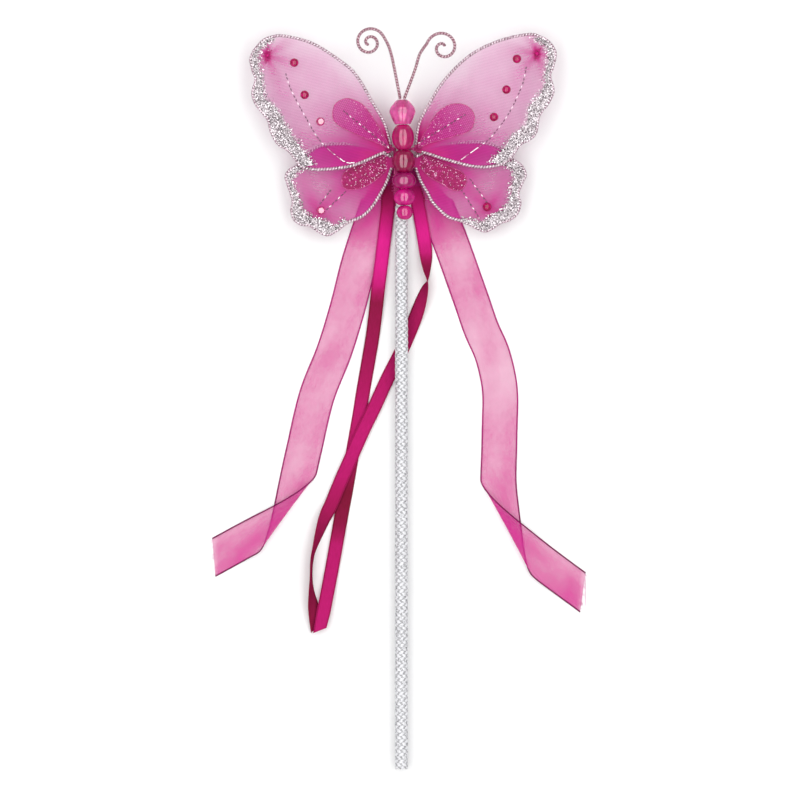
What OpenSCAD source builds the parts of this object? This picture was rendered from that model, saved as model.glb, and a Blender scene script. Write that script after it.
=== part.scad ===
// Toy magic wand: a wire and nylon butterfly with a beaded body, bound to a braided rod that trails ribbons.
// The wand lies on its back. The origin is the centre of the rod's butt end, +Y runs along the rod to the
// butterfly, +Z is the butterfly's front and +X is the right-hand side seen from the front.

/* [Rod] */
// Length of the braided sleeve, from the butt end to its top
sleeve_len = 258; // [180:1:320]
// Diameter of the stiff core
core_d = 5; // [4:0.1:6]
// Wall of the braided sleeve, which is drawn over the core
braid_wall = 0.47; // [0.3:0.01:1]
// Bare core above the sleeve, which carries the butterfly
bare_core = 28; // [27:0.5:34]

/* [Beads] */
// Diameter of the head bead
head_d = 12; // [10:0.1:14]
// Length of the head bead
head_l = 11.3; // [9:0.1:14]
// Diameter of the thorax bead
thorax_d = 10.1; // [8:0.1:11]
// Length of the thorax bead
thorax_l = 11.3; // [9:0.1:14]
// Diameter of the waist bead, which is glued to the rod
waist_d = 9.2; // [7:0.1:10.5]
// Length of the waist bead
waist_l = 10; // [8:0.1:13]
// Diameter of the upper abdomen bead
upper_abdomen_d = 10.6; // [8:0.1:12]
// Length of the upper abdomen bead
upper_abdomen_l = 7.3; // [6:0.1:9]
// Diameter of the lower abdomen bead
lower_abdomen_d = 9.9; // [8:0.1:12]
// Length of the lower abdomen bead
lower_abdomen_l = 7.2; // [6:0.1:9]
// Diameter of the tail bead
tail_d = 7.3; // [6:0.1:9]
// Length of the tail bead
tail_l = 6.6; // [5.5:0.1:9]
// Hole through the beads
bead_bore_d = 3.6; // [3.4:0.05:3.8]
// Lean of the bead string, tail towards +X, in degrees
body_tilt = 1.3; // [-3:0.1:3]

/* [Wires] */
// Diameter of each wire that the beads are strung on
spine_d = 1.2; // [0.8:0.1:1.3]
// Diameter of a wrapped antenna wire
antenna_d = 1.4; // [1:0.1:1.5]
// Diameter of a wing's wrapped frame wire
frame_d = 1.7; // [1.2:0.1:1.8]
// Diameter of a wing's root wire
root_d = 1.4; // [1:0.1:1.5]
// Diameter of the binding wire
binding_d = 0.8; // [0.5:0.1:0.9]
// Turns of the binding
binding_turns = 6; // [3:1:6]

/* [Wings] */
// Thickness of the nylon skins
nylon_t = 0.3; // [0.2:0.05:0.5]
// Thickness of the glitter edges
glitter_t = 0.7; // [0.4:0.05:1]
// Thickness of the petals
petal_t = 0.4; // [0.2:0.05:0.6]
// Diameter of the round gems
gem_d = 4; // [3:0.1:5]
// Diameter of a gathered, tied spot of the nylon
gather_d = 3; // [2:0.1:4]
// Step between the lower wings and the upper wings in front of them
wing_step = 2.8; // [2.6:0.1:4]

/* [Ribbons] */
// Width of the sheer organza ribbons
organza_w = 15.9; // [12:0.1:18]
// Width of the satin ribbons
satin_w = 6.35; // [4:0.05:8]
// Thickness of the organza
organza_t = 0.3; // [0.2:0.05:0.4]
// Thickness of the satin
satin_t = 0.4; // [0.2:0.05:0.4]
// Height of the rod's underside above the table
under_rod = 2; // [1.8:0.1:4]

/* [Hidden] */
$fn = 48;

// Clearances: pieces of one body, pieces that move past each other, and a hair between bonded faces
seat_gap = 0.1;
free_gap = 0.3;
bond_gap = 0.03;
sleeve_d = core_d + 2 * (bond_gap + braid_wall);

// The butterfly's place on the rod
left = -1;
right = 1;
body_x = 0.9;
core_len = sleeve_len + bare_core;
root_y = core_len - 6;

// Root wires lie along the core at two angles from its front, under the binding
root_ring_r = core_d / 2 + root_d / 2 + seat_gap / 2;
lower_root_angle = 40;
upper_root_angle = 72;
binding_out_r = root_ring_r + root_d / 2 + seat_gap + binding_d / 2;
binding_back_r = core_d / 2 + seat_gap + binding_d / 2;
binding_front_z = root_ring_r * cos(lower_root_angle) + root_d / 2 + seat_gap + binding_d / 2;
binding_pitch = binding_d + 0.55;
binding_y = root_y - 15.5;

// The bead string lies in front of the binding
bead_d_max = max(thorax_d, waist_d, upper_abdomen_d, lower_abdomen_d);
bead_axis_z = binding_front_z + binding_d / 2 + free_gap + bead_d_max / 2;
waist_v = -1.1;
waist_top = waist_v + waist_l / 2;
waist_low = waist_v - waist_l / 2;
thorax_v = waist_top + free_gap + thorax_l / 2;
head_low = thorax_v + thorax_l / 2 + free_gap;
head_top = head_low + head_l;
upper_abdomen_v = waist_low - free_gap - upper_abdomen_l / 2;
lower_abdomen_v = upper_abdomen_v - upper_abdomen_l / 2 - free_gap - lower_abdomen_l / 2;
tail_top = lower_abdomen_v - lower_abdomen_l / 2 - free_gap;
tail_bore_depth = 4;

// The two strung wires, and the bends at the head where the antennae leave them
spine_half = 0.85;
antenna_v = head_top + free_gap;

// A wing turns about a line beside the beads, parallel to the rod
hinge_u = 5.6;
hinge_z = root_ring_r * cos(lower_root_angle) + 1.5;
hinge_run = 3.6;
root_end_gap = frame_d / 2 + free_gap - 0.05;
// Heights of the wing roots, and half the distance between an upper wing's two wire ends
upper_root_v = 4.65;
lower_root_v = -4;
lower_top_v = 1;
root_spread = 0.95;
edge_inset = frame_d / 2 + 0.05;

// The table under the wand, and the fold of the ribbons between it and the binding
table_z = -sleeve_d / 2 - under_rod;
// It keeps clear of anything that is pushed over the sleeve as far as the fold
mate_room = 0.9;
fold_front_z = -max(binding_back_r + binding_d / 2 + seat_gap, sleeve_d / 2 + mate_room);
fold_y = sleeve_len + 4;
ribbon_start_y = fold_y - free_gap;

// Wing edges, in mm outwards from the body and up from the roots: from the root out along the wire to the
// scalloped edge, and back along the other wire
left_upper_edge = [
    [hinge_u, upper_root_v + root_spread], [6.4, 9], [9, 17], [14.5, 26.5], [21, 37.5], [27.5, 44],
    [41.5, 53], [54.5, 56.5],
    [61, 56], [65.5, 53.5], [70, 47], [69.3, 41], [67.8, 36.5], [69.3, 30], [67.3, 24.5], [62.3, 18.3],
    [60.8, 12.5], [57.3, 6.7], [53, 4], [49.3, -0.6], [46.5, -3.6],
    [38.5, -4.8], [23.5, -3], [10.5, 2.4], [hinge_u, upper_root_v - root_spread]
];
right_upper_edge = [
    [hinge_u, upper_root_v + root_spread], [6, 10], [7.5, 17], [11, 24], [19, 36.5], [31, 48],
    [44.5, 54.5], [57.5, 57.3],
    [63, 56], [67, 53.5], [69.8, 48.5], [68.5, 42], [67.2, 38], [68.8, 31.3], [66.2, 25.3], [62.3, 20],
    [60.8, 12.2], [57.5, 8.7], [53.5, 6.7], [50, 1.7], [44.6, -2.5],
    [33.6, -3.5], [19, 0], [12, 2.3], [hinge_u, upper_root_v - root_spread]
];
left_lower_edge = [
    [hinge_u, lower_root_v], [7.5, -10], [11, -16.5], [15, -22.5], [19.5, -26.5],
    [25.5, -29], [31, -33], [35, -34.8], [39, -33.2], [43, -30.4], [47, -30], [50.3, -27.5], [51.4, -23.3],
    [50.8, -19], [53.5, -10.5], [54, -7.7], [52.3, -5], [49, -3.2],
    [44, 2.5], [38.5, 6], [31, 7], [23.5, 6.7], [15.5, 5.3], [10, 3.3], [hinge_u, lower_top_v]
];
right_lower_edge = [
    [hinge_u, lower_root_v], [7.8, -9.8], [11, -15.3], [13.8, -20.2], [20.2, -26.2],
    [26.2, -28.3], [31.3, -30.4], [36.3, -32.9], [39.3, -32.6], [44.6, -29.2], [48.3, -28.1], [52, -25.3],
    [53.6, -20.5], [52.6, -15.8], [54.7, -10.6], [56.1, -7], [54, -2.8], [50.6, -0.5],
    [45, 4.7], [37.7, 7.4], [29, 7.7], [19, 6.7], [12, 4.6], [hinge_u, lower_top_v]
];
// First and last point of the scalloped stretch in the lists above
upper_scallops = [8, 20];
lower_scallops = [5, 17];
// Inner borders of the glitter edges
left_upper_border = [
    [61.5, 53.9], [65.4, 49.5], [65.6, 41], [64.9, 36], [63.8, 28], [58.1, 22.6], [54.7, 15.8],
    [51.4, 10.4], [46.6, 4.3], [41, -2.6]
];
right_upper_border = [
    [61.5, 53.9], [66.1, 49.7], [66.3, 46], [64.4, 38.6], [65.2, 34.5], [61.6, 27.6], [58.4, 24.4],
    [56.6, 16.1], [53.8, 12.4], [49.7, 9.7], [44.4, 2.8], [40, -1.4]
];
left_lower_border = [
    [27, -27.9], [31.7, -30.8], [35.9, -28.7], [42.8, -26.5], [45.5, -25.1], [47.8, -21.6], [48.5, -17.5],
    [50.8, -12.9], [51.9, -9], [50, -6.7], [46.6, -4.2]
];
right_lower_border = [
    [27, -27.2], [32.7, -28.7], [35.9, -29.6], [41.4, -25.3], [47.4, -22.5], [49.2, -17.5], [50.1, -12.4],
    [51.4, -8.7], [50.6, -5.5], [46.5, -2.3]
];
// Petals, gems and gathered spots, in the same measure
left_upper_petal_edge = [
    [9.4, 7], [10.2, 13], [15.2, 20.7], [19, 25.2], [24.5, 27.7], [28, 27.4], [31.3, 25.3], [32.5, 21.6],
    [32, 17.9], [29, 15], [24.4, 12.6], [18.9, 10.1], [12.4, 7.6]
];
right_upper_petal_edge = [
    [9.4, 6.7], [10.2, 13], [15.2, 20.7], [19.8, 24.4], [24.4, 25.4], [28.5, 24.7], [31.5, 22.3],
    [32.7, 18.9], [31.7, 14.7], [29, 12.2], [23.9, 10.6], [17, 8.7], [11.5, 7.1]
];
left_lower_petal_edge = [
    [9.4, -0.6], [18.9, -3.5], [24.4, -5.3], [27.4, -6.9], [28.4, -9.7], [27.6, -12.7], [25.3, -13.9],
    [21.6, -13.8], [17.9, -12.7], [13.3, -10.1], [9.4, -6.6]
];
right_lower_petal_edge = [
    [9.4, 0.6], [17, -2.8], [21.6, -4.8], [26.2, -6.2], [28.8, -8.3], [28.8, -11], [27.1, -13.6],
    [24.6, -14.6], [21.2, -13.6], [17, -11], [12.4, -8.5], [9.4, -5.6]
];
left_upper_gem_spots = [[50.2, 44.3], [45.4, 29.5], [38.2, 17.2]];
right_upper_gem_spots = [[52.1, 46], [47.3, 31.9], [41.6, 19.3]];
left_lower_gem_spot = [38, -23.6];
right_lower_gem_spot = [38.4, -21.9];
left_gather_spot = [62.5, 47.5];
right_gather_spot = [61.2, 48.4];

// Antennae, in mm outwards and up from the bend at the head: points of the stem, then the curl's centre,
// its first and last angle and its first and last radius
left_stem = [[0, 0], [1.8, 9.4], [3.7, 18.7], [5.4, 24.5]];
left_curl = [[14.1, 26], 157, -430, 7, 1];
right_stem = [[0, 0], [3, 7.8], [5.3, 14.2], [7.3, 20.7]];
right_curl = [[17.9, 23.6], 166, -324, 7.6, 1];
curl_step = 30;

// Ribbon routes on the table, in mm from the fold behind the rod. An organza point is x, y, the lift off the
// table and the angle of the line across the ribbon. Each organza ribbon comes down flat, turns over at a
// slanted bend (x, y, angle and half the distance run along it) and lies on itself beyond.
left_organza_down = [
    [-9.7, 0, 0.1, 0], [-13.8, -11.5, 0, -14], [-19.6, -29.5, 0, -16], [-25, -50.5, 0, -15],
    [-31, -70, 0, -18], [-39, -90.5, 0, -19], [-44.5, -113.5, 0, -14], [-47.5, -127, 0, 22]
];
left_bend = [-52.9, -145, 54, 4.15];
left_organza_tail = [[-71, -156.5, 0.3, 80], [-86.6, -165, 0, 95]];
right_organza_down = [
    [14.5, 0, 0.1, 0], [22, -18, 0, 18], [31.5, -44.5, 0, 19], [36.5, -59, 0, 20], [41.5, -70.5, 0, 19],
    [44.5, -82, 0, 10], [45.5, -91, 0, 2], [45.3, -102, 0, -1], [45, -115, 0, -2], [44.8, -130.5, 0, -28]
];
right_bend = [48.8, -152, -62, 4.5];
right_organza_tail = [[66, -168, 0.3, -85], [83.5, -181, 0, -98]];
bend_r = 1.2;

// A satin point is x, y, the lift and the roll in degrees. Satin lies over the organza near the fold, the
// right satin turns over and passes under the rod, crosses over the left one and ends under it.
over_organza = organza_t + free_gap;
over_satin = satin_t + 2 * free_gap;
left_satin_route = [
    [-6.2, 0, over_organza, 0], [-6.2, -3, over_organza, 0], [-6.7, -8, over_organza, 0],
    [-8.5, -23, over_organza, 0],
    [-10.6, -40, 1.8, 0], [-12.9, -60, over_organza, 0], [-15, -73, 0.3, 0], [-17.7, -88.5, 0, 0],
    [-19.7, -101, 0, 0], [-23, -119.5, 0, 0], [-25.5, -134, 0, 0], [-27.3, -143.5, 0, 0],
    [-29.7, -157, 0.9, 0], [-32.2, -171, 0.6, 0], [-34.5, -183, 1.8, 0], [-36.7, -194, 2.6, 0],
    [-37.6, -198.5, 2.6, 0]
];
right_satin_route = [
    [7.6, 0, over_organza, 0], [7.6, -2.5, over_organza, 0], [8.7, -8, over_organza, 0],
    [10.9, -22, over_organza, 15], [11.6, -32.5, 0.3, 60], [11.9, -37.5, 0.1, 90], [10.4, -42.5, 0, 125], [6.2, -55, 0, 168],
    [0.1, -69.5, 0, 180], [-6.2, -82, 0.2, 180], [-12.6, -96, over_satin, 180],
    [-17.7, -106.5, over_satin, 180], [-23, -118.5, over_satin, 180], [-28.1, -130, over_satin, 180],
    [-32.4, -140.5, over_satin, 182], [-35.7, -147.5, 0.3, 215], [-39.7, -159.5, 0, 252],
    [-41.2, -166, 0, 260], [-41.6, -174, 0, 262], [-41.4, -181, 0, 248], [-40.4, -188.5, 0, 218],
    [-38.6, -197, 0, 188]
];
fold_outline = [[-18, 0], [23, 0], [16.5, 15], [-11.5, 15]];

// Colours
braid_colour = [0.87, 0.87, 0.89];
silver = [0.75, 0.74, 0.76];
bead_colour = [0.68, 0.05, 0.35];
nylon_colour = [0.9, 0.55, 0.75];
petal_colour = [0.78, 0.1, 0.45];
organza_colour = [0.92, 0.35, 0.62];
satin_colour = [0.75, 0.05, 0.4];

// Curves and sweeps

function unit(v) = v / norm(v);

function xyz(p) = [p[0], p[1], p[2]];

function smooth(t) = let (c = min(max(t, 0), 1)) c * c * (3 - 2 * c);

function mix(a, b, t) = a + (b - a) * t;

function turn_z(p, a) = [p[0] * cos(a) - p[1] * sin(a), p[0] * sin(a) + p[1] * cos(a), p[2]];

function catmull(a, b, c, d, t) =
    0.5 * (2 * b + (c - a) * t + (2 * a - 5 * b + 4 * c - d) * t * t + (3 * b - a - 3 * c + d) * t * t * t);

// A smooth open curve through points of any dimension, with a number of steps between each two
function curve(p, steps) = let (last = len(p) - 1) concat(
    [for (i = [0 : last - 1]) for (k = [0 : steps - 1])
        catmull(p[max(i - 1, 0)], p[i], p[i + 1], p[min(i + 2, last)], k / steps)],
    [p[last]]);

// A smooth closed curve through points
function loop(p, steps) = let (n = len(p))
    [for (i = [0 : n - 1]) for (k = [0 : steps - 1])
        catmull(p[(i + n - 1) % n], p[i], p[(i + 1) % n], p[(i + 2) % n], k / steps)];

function tangent(path, i) = unit(xyz(path[min(i + 1, len(path) - 1)]) - xyz(path[max(i - 1, 0)]));

// A path of points and radii with a round end of the same radius at its first and last point
function round_ends(path, r) = let (
        last = len(path) - 1,
        first_way = unit(path[0] - path[1]),
        last_way = unit(path[last] - path[last - 1]))
    concat(
        [for (a = [75, 40]) concat(path[0] + first_way * r * sin(a), r * cos(a))],
        [for (p = path) concat(p, r)],
        [for (a = [40, 75]) concat(path[last] + last_way * r * sin(a), r * cos(a))]);

// Rings of points joined into one closed solid. Opposite walls are split along the same diagonal, so that the
// two faces of a twisted ribbon keep apart.
module rings_solid(rings) {
    sides = len(rings[0]);
    count = len(rings);
    points = [for (ring = rings) each ring];
    walls = [for (i = [0 : count - 2]) for (k = [0 : sides - 1])
        let (a = i * sides + k, b = i * sides + (k + 1) % sides, c = b + sides, d = a + sides)
        each k < sides / 2 ? [[a, b, c], [a, c, d]] : [[a, b, d], [b, c, d]]];
    fans = [for (k = [1 : sides - 2])
        let (top = (count - 1) * sides)
        each [[0, k + 1, k], [top, top + k, top + k + 1]]];
    polyhedron(points, concat(walls, fans));
}

// A round tube along points with radii
module tube(path, sides, up = [0, 0, 1]) {
    rings_solid([for (i = [0 : len(path) - 1])
        let (t = tangent(path, i), a = unit(cross(t, up)), b = cross(a, t))
        [for (k = [0 : sides - 1])
            let (w = 360 * k / sides)
            xyz(path[i]) + path[i][3] * (a * cos(w) + b * sin(w))]]);
}

// A flat ribbon along points, with a direction across it at each. A slanted direction reaches from edge to
// edge of the same ribbon, so it is longer.
module ribbon_solid(path, across, width, thick) {
    rings_solid([for (i = [0 : len(path) - 1])
        let (
            t = tangent(path, i),
            a = across[i],
            along = t * a,
            reach = width / 2 / sqrt(1 - along * along),
            through = unit(cross(a, t)) * thick / 2)
        [for (c = [[1, -1], [1, 1], [-1, 1], [-1, -1]])
            xyz(path[i]) + a * c[0] * reach + through * c[1]]]);
}

// Rod

module rod_core() {
    color("white")
        rotate([-90, 0, 0])
            cylinder(d = core_d, h = core_len);
}

module rod_sleeve() {
    color(braid_colour)
        rotate([-90, 0, 0])
            difference() {
                cylinder(d = sleeve_d, h = sleeve_len);
                translate([0, 0, -1])
                    cylinder(d = core_d + 2 * bond_gap, h = sleeve_len + 2);
            }
}

// The binding's distance from the rod's axis, at an angle from the front: round the root wires in front
// and close on the core behind
function binding_r(angle) = let (away = min(angle, 360 - angle))
    away <= 80
        ? min(binding_out_r, binding_front_z / cos(away))
        : mix(binding_out_r, binding_back_r, smooth((away - 80) / 48));

binding_steps = 24;
binding_path = [for (i = [0 : binding_turns * binding_steps])
    let (angle = 360 * (i % binding_steps) / binding_steps, r = binding_r(angle))
    [r * sin(angle), binding_y + binding_pitch * i / binding_steps, r * cos(angle), binding_d / 2]];
binding_gap = min([for (i = [0 : binding_steps * (binding_turns - 1) - 1])
    norm(xyz(binding_path[i + binding_steps]) - xyz(binding_path[i]))]) - binding_d;
echo(least_gap_between_binding_turns = binding_gap);

module root_binding() {
    color(silver)
        tube(binding_path, 6, [0, 1, 0]);
}

// Hot-melt glue between the core and the waist bead
module glue_saddle() {
    glue_r = 2;
    glue_x = 0.2;
    color("ivory")
        difference() {
            translate([glue_x, root_y + waist_v, 0])
                cylinder(r = glue_r, h = bead_axis_z);
            rotate([-90, 0, 0])
                cylinder(r = core_d / 2 + bond_gap, h = core_len + 1);
            on_string()
                translate([0, waist_v, 0])
                    turned(round_profile(waist_d / 2 + bond_gap, waist_l, 0.9), 0);
        }
}

// Bead string

module on_string() {
    translate([body_x, root_y, bead_axis_z])
        rotate([0, 0, body_tilt])
            children();
}

// Radii and places along the axis of a rounded bead: full keeps that share of the ellipse
function round_profile(r, length, full) =
    [for (i = [-6 : 6]) let (s = i / 6 * full) [r * sqrt(1 - s * s), length / 2 * i / 6]];

// A bead turned about +Y from its profile, with a hole through it
module turned(profile, bore) {
    low = profile[0][1];
    high = profile[len(profile) - 1][1];
    rotate([-90, 0, 0])
        rotate_extrude()
            polygon(concat([[bore / 2, low]], profile, [[bore / 2, high]]));
}

module bead(d, length, v) {
    color(bead_colour)
        on_string()
            translate([0, v, 0])
                turned(round_profile(d / 2, length, 0.9), bead_bore_d);
}

// The head bead is widest above its middle and tapers straight to the thorax
module head_bead() {
    shares = [[0.48, 0], [0.65, 0.16], [0.83, 0.34], [0.95, 0.48], [1, 0.56], [0.97, 0.65], [0.86, 0.76],
        [0.68, 0.87], [0.5, 0.95], [0.37, 1]];
    color(bead_colour)
        on_string()
            translate([0, head_low, 0])
                turned([for (s = shares) [s[0] * head_d / 2, s[1] * head_l]], bead_bore_d);
}

module thorax_bead() bead(thorax_d, thorax_l, thorax_v);

module waist_bead() bead(waist_d, waist_l, waist_v);

module upper_abdomen_bead() bead(upper_abdomen_d, upper_abdomen_l, upper_abdomen_v);

module lower_abdomen_bead() bead(lower_abdomen_d, lower_abdomen_l, lower_abdomen_v);

// The tail bead is closed below, and the wires end in its blind hole
module tail_bead() {
    steps = 12;
    profile = [for (i = [0 : steps])
        let (s = mix(-1, 0.86, i / steps))
        [tail_d / 2 * sqrt(max(1 - s * s, 0)), tail_l * (s + 1) / 1.86]];
    color(bead_colour)
        on_string()
            translate([0, tail_top - tail_l, 0])
                rotate([-90, 0, 0])
                    rotate_extrude()
                        polygon(concat(profile, [[bead_bore_d / 2, tail_l],
                            [bead_bore_d / 2, tail_l - tail_bore_depth], [0, tail_l - tail_bore_depth]]));
}

module spine_wires() {
    low = tail_top - tail_bore_depth + seat_gap;
    high = antenna_v - antenna_d / 2 - free_gap;
    color(silver)
        on_string()
            for (side = [left, right])
                translate([side * spine_half, low, 0])
                    rotate([-90, 0, 0])
                        cylinder(d = spine_d, h = high - low);
}

// An antenna, as outward and upward points from its bend: the stem, then the curl winding in
function antenna_points(stem, curl) = let (turns = floor((curl[1] - curl[2]) / curl_step))
    concat(
        curve(concat(stem, [curl[0] + curl[3] * [cos(curl[1]), sin(curl[1])]]), 4),
        [for (i = [1 : turns])
            let (share = i / turns, angle = mix(curl[1], curl[2], share), r = mix(curl[3], curl[4], share))
            curl[0] + r * [cos(angle), sin(angle)]]);

module antenna(side, stem, curl) {
    path = [for (p = antenna_points(stem, curl)) [side * p[0], p[1], 0]];
    bend = [side * spine_half, antenna_v, 0];
    color("rosybrown")
        translate([body_x, root_y, bead_axis_z])
            translate(turn_z(bend, body_tilt))
                tube(round_ends(path, antenna_d / 2), 6);
}

module left_antenna() antenna(left, left_stem, left_curl);

module right_antenna() antenna(right, right_stem, right_curl);

// Wing roots: twisted wire ends along the core, bent out to the line that the wing turns about

module wing_root(side, angle, v, turn_below) {
    lie = [side * root_ring_r * sin(angle), 0, root_ring_r * cos(angle)];
    hinge_x = body_x + side * hinge_u;
    tip = [hinge_x - side * root_end_gap, root_y + v, hinge_z];
    turn_y = root_y + v - turn_below;
    near_x = mix(lie[0], tip[0], 0.35);
    path = [
        [lie[0], binding_y - 1, lie[2]], [lie[0], turn_y - 4, lie[2]], [lie[0], turn_y, lie[2]],
        [mix(lie[0], tip[0], 0.15), mix(turn_y, tip[1], 0.65), mix(lie[2], tip[2], 0.5)],
        [near_x, tip[1], mix(lie[2], tip[2], 0.92)], tip
    ];
    color(silver)
        tube([for (p = curve(path, 3)) concat(p, root_d / 2)], 6);
}

module left_upper_root() wing_root(left, upper_root_angle, upper_root_v, 3.6);

module left_lower_root() wing_root(left, lower_root_angle, lower_root_v, 3);

module right_upper_root() wing_root(right, upper_root_angle, upper_root_v, 3.6);

module right_lower_root() wing_root(right, lower_root_angle, lower_root_v, 3);

// Wings

edge_steps = 3;
upper = 1;
lower = -1;

// Height of a wing: on the hinge line at its root, then in its own layer
function wing_z(u, layer) = hinge_z + layer * wing_step / 2 * smooth((u - hinge_u) / hinge_run);

// A point moved in by a distance. The upper edges run clockwise and the lower ones anticlockwise, so the
// layer's sign turns the distance inwards on both.
function inset(p, i, distance) = let (
        a = p[max(i - 1, 0)],
        b = p[min(i + 1, len(p) - 1)],
        way = unit(b - a))
    p[i] + distance * [way[1], -way[0]];

// How far the wire runs inside the edge: on it along the bare wires, within the glitter at the scallops
function wire_inset(i, scallops) = edge_inset
    * smooth((i / edge_steps - scallops[0]) / 2) * smooth((scallops[1] - i / edge_steps) / 2);

function wire_points(edge, layer, scallops) = let (p = curve(edge, edge_steps))
    [for (i = [0 : len(p) - 1]) inset(p, i, layer * wire_inset(i, scallops))];

module on_wing(side, layer, z) {
    translate([body_x, root_y, hinge_z + layer * wing_step / 2 + z])
        on_side(side)
            children();
}

module on_side(side) {
    if (side == left) mirror([1, 0, 0]) children();
    else children();
}

module wing_frame(side, layer, edge, scallops) {
    path = [for (p = wire_points(edge, layer, scallops))
        [body_x + side * p[0], root_y + p[1], wing_z(p[0], layer)]];
    color(silver)
        tube(round_ends(path, frame_d / 2), 6);
}

// The nylon fills the frame from where the wire has reached its layer
module wing_nylon(side, layer, edge, scallops) {
    wire = wire_points(edge, layer, scallops);
    skin = [for (i = [0 : len(wire) - 1])
        if (wire[i][0] > hinge_u + hinge_run)
            inset(wire, i, layer * (frame_d / 2 + seat_gap))];
    color(nylon_colour)
        on_wing(side, layer, -nylon_t / 2)
            linear_extrude(nylon_t)
                polygon(skin);
}

module wing_glitter(side, layer, edge, scallops, border) {
    all_points = curve(edge, edge_steps);
    outer = [for (i = [scallops[0] * edge_steps : scallops[1] * edge_steps]) all_points[i]];
    inner = curve(border, edge_steps);
    color(silver)
        on_wing(side, layer, frame_d / 2 + seat_gap / 2)
            linear_extrude(glitter_t)
                polygon(concat(outer, [for (i = [len(inner) - 1 : -1 : 0]) inner[i]]));
}

module wing_petal(side, layer, edge) {
    color(petal_colour)
        on_wing(side, layer, nylon_t / 2 + seat_gap / 2)
            linear_extrude(petal_t)
                polygon(loop(edge, 3));
}

// Round stones with flat backs on the nylon
module wing_gems(side, layer, spots) {
    color(bead_colour)
        on_wing(side, layer, nylon_t / 2 + seat_gap / 2)
            for (spot = spots)
                translate([spot[0], spot[1], 0])
                    dome(gem_d);
}

module dome(d) {
    intersection() {
        sphere(d = d);
        cylinder(d = 2 * d, h = d);
    }
}

module wing_gather(side, spot) {
    color(petal_colour)
        on_wing(side, upper, nylon_t / 2 + seat_gap / 2)
            translate([spot[0], spot[1], 0])
                dome(gather_d);
}

module left_upper_frame() wing_frame(left, upper, left_upper_edge, upper_scallops);

module left_upper_nylon() wing_nylon(left, upper, left_upper_edge, upper_scallops);

module left_upper_glitter() wing_glitter(left, upper, left_upper_edge, upper_scallops, left_upper_border);

module left_upper_petal() wing_petal(left, upper, left_upper_petal_edge);

module left_upper_gems() wing_gems(left, upper, left_upper_gem_spots);

module left_upper_gather() wing_gather(left, left_gather_spot);

module left_lower_frame() wing_frame(left, lower, left_lower_edge, lower_scallops);

module left_lower_nylon() wing_nylon(left, lower, left_lower_edge, lower_scallops);

module left_lower_glitter() wing_glitter(left, lower, left_lower_edge, lower_scallops, left_lower_border);

module left_lower_petal() wing_petal(left, lower, left_lower_petal_edge);

module left_lower_gem() wing_gems(left, lower, [left_lower_gem_spot]);

module right_upper_frame() wing_frame(right, upper, right_upper_edge, upper_scallops);

module right_upper_nylon() wing_nylon(right, upper, right_upper_edge, upper_scallops);

module right_upper_glitter() wing_glitter(right, upper, right_upper_edge, upper_scallops, right_upper_border);

module right_upper_petal() wing_petal(right, upper, right_upper_petal_edge);

module right_upper_gems() wing_gems(right, upper, right_upper_gem_spots);

module right_upper_gather() wing_gather(right, right_gather_spot);

module right_lower_frame() wing_frame(right, lower, right_lower_edge, lower_scallops);

module right_lower_nylon() wing_nylon(right, lower, right_lower_edge, lower_scallops);

module right_lower_glitter() wing_glitter(right, lower, right_lower_edge, lower_scallops, right_lower_border);

module right_lower_petal() wing_petal(right, lower, right_lower_petal_edge);

module right_lower_gem() wing_gems(right, lower, [right_lower_gem_spot]);

// Ribbons

// The ribbons' folded middle, bonded behind the binding
module ribbon_fold() {
    color(organza_colour)
        translate([0, fold_y, table_z])
            linear_extrude(fold_front_z - table_z)
                polygon(fold_outline);
}

// Points of a bend that turns a ribbon over: half a turn about the slanted line, while it runs along it
function bend_points(side, bend) = let (ring = [cos(bend[2]), sin(bend[2])])
    [for (turn = [0 : 22.5 : 180])
        let (
            along = side * bend[3] * (turn / 90 - 1) * ring,
            out = bend_r * sin(turn) * [ring[1], -ring[0]])
        [bend[0] + along[0] + out[0], bend[1] + along[1] + out[1], bend_r * (1 - cos(turn)), bend[2]]];

module organza(side, down, bend, tail) {
    turn = bend_points(side, bend);
    last = len(turn) - 1;
    entry = curve(concat(down, [turn[0]]), 3);
    exit = curve(concat([turn[last]], tail), 4);
    route = concat(entry, [for (i = [1 : last]) turn[i]], [for (i = [1 : len(exit) - 1]) exit[i]]);
    path = [for (p = route) [p[0], ribbon_start_y + p[1], table_z + organza_t / 2 + p[2]]];
    color(organza_colour)
        ribbon_solid(path, [for (p = route) [cos(p[3]), sin(p[3]), 0]], organza_w, organza_t);
}

// Where a satin ribbon rolls over, its middle rises so that its lower edge stays on the table
module satin(route) {
    points = curve(route, 3);
    path = [for (p = points)
        let (rise = satin_w / 2 * abs(sin(p[3])) + satin_t / 2 * (abs(cos(p[3])) - 1))
        [p[0], ribbon_start_y + p[1], table_z + satin_t / 2 + p[2] + rise]];
    across = [for (i = [0 : len(path) - 1])
        let (t = tangent(path, i), level = unit(cross(t, [0, 0, 1])))
        level * cos(points[i][3]) + cross(level, t) * sin(points[i][3])];
    color(satin_colour)
        ribbon_solid(path, across, satin_w, satin_t);
}

module left_organza() organza(left, left_organza_down, left_bend, left_organza_tail);

module right_organza() organza(right, right_organza_down, right_bend, right_organza_tail);

module left_satin() satin(left_satin_route);

module right_satin() satin(right_satin_route);

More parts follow.
